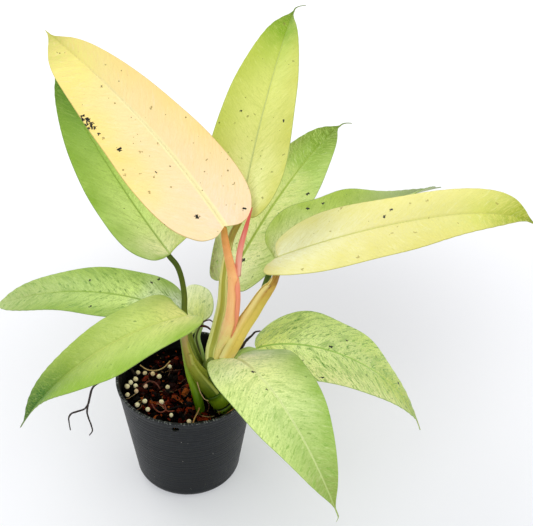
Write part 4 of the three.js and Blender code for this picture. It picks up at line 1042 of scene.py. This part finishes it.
def pellet_pieces():
    """Slightly dented balls, sunk a little into the mix."""
    rng = np.random.default_rng(8)
    latitude = np.linspace(-np.pi / 2, np.pi / 2, 11)[1:-1, None]
    ball = circle(np.cos(latitude), np.sin(latitude), np.linspace(0, 2 * np.pi, 16, endpoint=False))
    ball = np.vstack([ball, (0, 0, -1), (0, 0, 1)])
    # Each face starts one corner on, because a bent square is split at its first corner
    faces = [(*face[1:], face[0]) for face in ring_faces(len(latitude), 16)]
    parts = []
    for x, y in PELLETS:
        r = PELLET_DIAMETER / 2 * rng.uniform(0.86, 1.04)
        centre = (x, y, soil_height(x, y) + rng.uniform(1.4, 2.2))
        radii = (r, r, r * rng.uniform(0.85, 1))
        dented = ball * (1 + 0.05 * np.sin(3 * ball[:, [1, 2, 0]] + rng.uniform(0, 6, 3)))
        spots = (dented * radii) @ turned_at_random(rng, 1.5).T + centre
        parts.append(toned((spots, faces, {"flat": spots}), rng.uniform()))
    return join_arrays(parts)


def pellet_material():
    g = Graph("pellet_coat", 0.4)
    stops = [(0, "fbf2cc"), (0.5, "f6e2b0"), (0.8, "ecc894"), (1, "dcae94")]
    g.colour = g.ramp(g.attribute("tone", "Fac"), stops)
    grain = g.noise(g.attribute("flat"), 1.5, 3.0, 0.6)
    g.tint(grain.ease(0.55, 0.75, 0.0, 0.5), "b88a50")
    # Painted light: the pellets give off a faint warm light, to brighten them in the leaves' shade
    return g.finish(grain, 0.3, Emission_Color=(1.0, 0.85, 0.55, 1), Emission_Strength=0.1)


def fibre_parts():
    """Thin dry fibres and fine roots that lie on the mix."""
    rng = np.random.default_rng(17)
    parts = []
    for _ in range(FIBRES):
        x, y = random_spot(rng, 6)
        heading, bend = rng.uniform(0, 2 * math.pi), rng.uniform(-0.5, 0.5)
        path = []
        for _ in range(5):
            if math.hypot(x, y) > inner_radius(SOIL_TOP) - 1.5:
                break
            path.append((x, y, soil_height(x, y) + 1.1 + rng.uniform(-0.5, 0.9)))
            step = rng.uniform(1.5, 3.6)
            x, y = x + step * math.cos(heading), y + step * math.sin(heading)
            heading += bend
        if len(path) > 2:
            thin = [rng.uniform(0.12, 0.28)] * len(path)
            parts.append(toned(tube_arrays(path, thin, 6, 5, (0, 0, 1)), rng.uniform()))
    for i, (_, radius, path) in enumerate(MIX_STRANDS):
        strand = tube_arrays(path, [radius] * len(path), 8, 8, (0, 0, 1), knobbly(40 + i))
        parts.append(toned(strand, 2 + i))
    return join_arrays(parts)


def fibre_material():
    """The fibres' colour by tone, and from tone 2 on the strands' own colours."""
    g = Graph("fibre", 0.7)
    tone = g.attribute("tone", "Fac")
    g.colour = g.ramp(tone, [(0, "3a1c10"), (0.5, "6e4426"), (0.8, "9a7040"), (1, "c4a878")])
    for i, (code, _, _) in enumerate(MIX_STRANDS):
        g.tint(g.math("COMPARE", tone, 2.0 + i, 0.1), code)
    grain = g.noise(g.attribute("flat"), 0.9, 3.0)
    g.tint(grain.ease(0.5, 0.8, 0.0, 0.5), "4a2c18")
    return g.finish()


# The whole plant
for number, leaf in LEAVES.items():
    look = LOOKS[number]
    place(blade_piece(number, leaf, leaf_material(number, look)), look["slot"], "blade_" + number)
    look = PETIOLES[number]
    place(petiole_piece(number, look), look["slot"], "petiole_" + number)

stem = tube_arrays(**STEM, sides=48, steps=30, shape=stem_shape)
place(mesh_object("main_stem", stem, stem_material()), "stem", "stem")
spike = tube_arrays(**SPIKE, sides=24, steps=12)
place(mesh_object("rolled_leaf", spike, spike_material()), "spike", "leaf_spike")

bark = root_material("root_bark", "1e120c", "4a3024")
red_bark = root_material("root_bark_red", "3c160a", "783a20")
for name, strands in ROOTS.items():
    root = join_arrays([tube_arrays(**strand, sides=12, steps=8, shape=knobbly(i + len(name)))
                        for i, strand in enumerate(strands)])
    skin = red_bark if name == "root_back" else bark
    place(mesh_object("aerial_" + name, root, skin), "root", name)

place(pot_piece(), "pot", "pot")
husk = mix_material()
place(mesh_object("mix_bed", soil_bed(), husk, smooth=False), "potting_mix", "potting_mix")
place(mesh_object("mix_chips", husk_chips(), husk, sharp=45), "potting_mix", "potting_mix")
place(mesh_object("mix_pellets", pellet_pieces(), pellet_material()), "potting_mix", "potting_mix")
place(mesh_object("mix_fibres", fibre_parts(), fibre_material()), "potting_mix", "potting_mix")


# Floor, lights and camera
def floor_material():
    g = Graph("floor_paper", 0.8, 0.2)
    where = g.value("TexCoord", "Object")
    x, y, _ = g.split(where)
    # Painted light: the floor gives off light of its own, dimmer at the front and brighter further back
    painted_light = g.mix(y.ease(0.05, 0.75), (0.75, 0.77, 0.8, 1), (1, 1, 1, 1))
    # A painted shadow: the wide soft shade that the plant throws on the paper behind it
    aside, behind = x - 0.08, y - 0.18
    away = g.math("SQRT", aside * aside + behind * behind)
    painted_light = g.mix(away.ease(0.03, 0.28, 0.6, 0.0), painted_light, (0, 0, 0, 1))
    mottled = g.noise(where, 3.0, 3.0).ease(0.3, 0.7)
    g.colour = g.mix(mottled, (0.5, 0.49, 0.5, 1), (0.49, 0.48, 0.49, 1))
    return g.finish(Emission_Color=painted_light, Emission_Strength=0.52)


far = 4000
corners = [(-far, -far, 0), (far, -far, 0), (far, far, 0), (-far, far, 0)]
floor = mesh_object("floor", (corners, [(0, 1, 2, 3)], {}), floor_material())


def area_light(name, spot, target, watts, colour):
    data = bpy.data.lights.new(name, "AREA")
    data.shape, data.size, data.energy, data.color = "DISK", 1.2, watts, colour
    made = bpy.data.objects.new(name, data)
    made.location = spot
    made.rotation_mode = "QUATERNION"
    made.rotation_quaternion = (Vector(target) - Vector(spot)).to_track_quat("-Z", "Y")
    bpy.context.collection.objects.link(made)


area_light("key", (-0.9, 0.9, 1.5), (0, 0.15, 0.1), 14, (1.0, 0.99, 0.97))
area_light("fill", (0.9, -0.7, 1.3), (0, 0, 0.12), 5, (0.97, 0.99, 1.0))

world = bpy.data.worlds.new("studio")
world.use_nodes = True
background = world.node_tree.nodes["Background"]
background.inputs["Color"].default_value = (0.95, 0.975, 1.0, 1)
background.inputs["Strength"].default_value = 0.92
bpy.context.scene.world = world

CAMERA_ELEVATION, CAMERA_ROLL = 36.4, 1.2
CAMERA_SPOT = (56.0, -647.4, 667.5)
FOCAL_PIXELS, IMAGE_WIDTH = 1200, 533
elevation, roll = math.radians(CAMERA_ELEVATION), math.radians(CAMERA_ROLL)
ahead = Vector((0, math.cos(elevation), -math.sin(elevation)))
level = Vector((1, 0, 0))
above = level.cross(ahead)
right = math.cos(roll) * level + math.sin(roll) * above
over = -math.sin(roll) * level + math.cos(roll) * above
lens = bpy.data.cameras.new("camera")
lens.sensor_fit = "HORIZONTAL"
lens.sensor_width = 36
lens.lens = FOCAL_PIXELS / IMAGE_WIDTH * lens.sensor_width
lens.clip_start, lens.clip_end = 0.01, 50
camera = bpy.data.objects.new("camera", lens)
turned = Matrix((right, over, -ahead)).transposed()
camera.matrix_world = Matrix.LocRotScale(Vector(CAMERA_SPOT) * MM, turned, None)
bpy.context.collection.objects.link(camera)
bpy.context.scene.camera = camera
bpy.context.scene.view_settings.view_transform = "Standard"
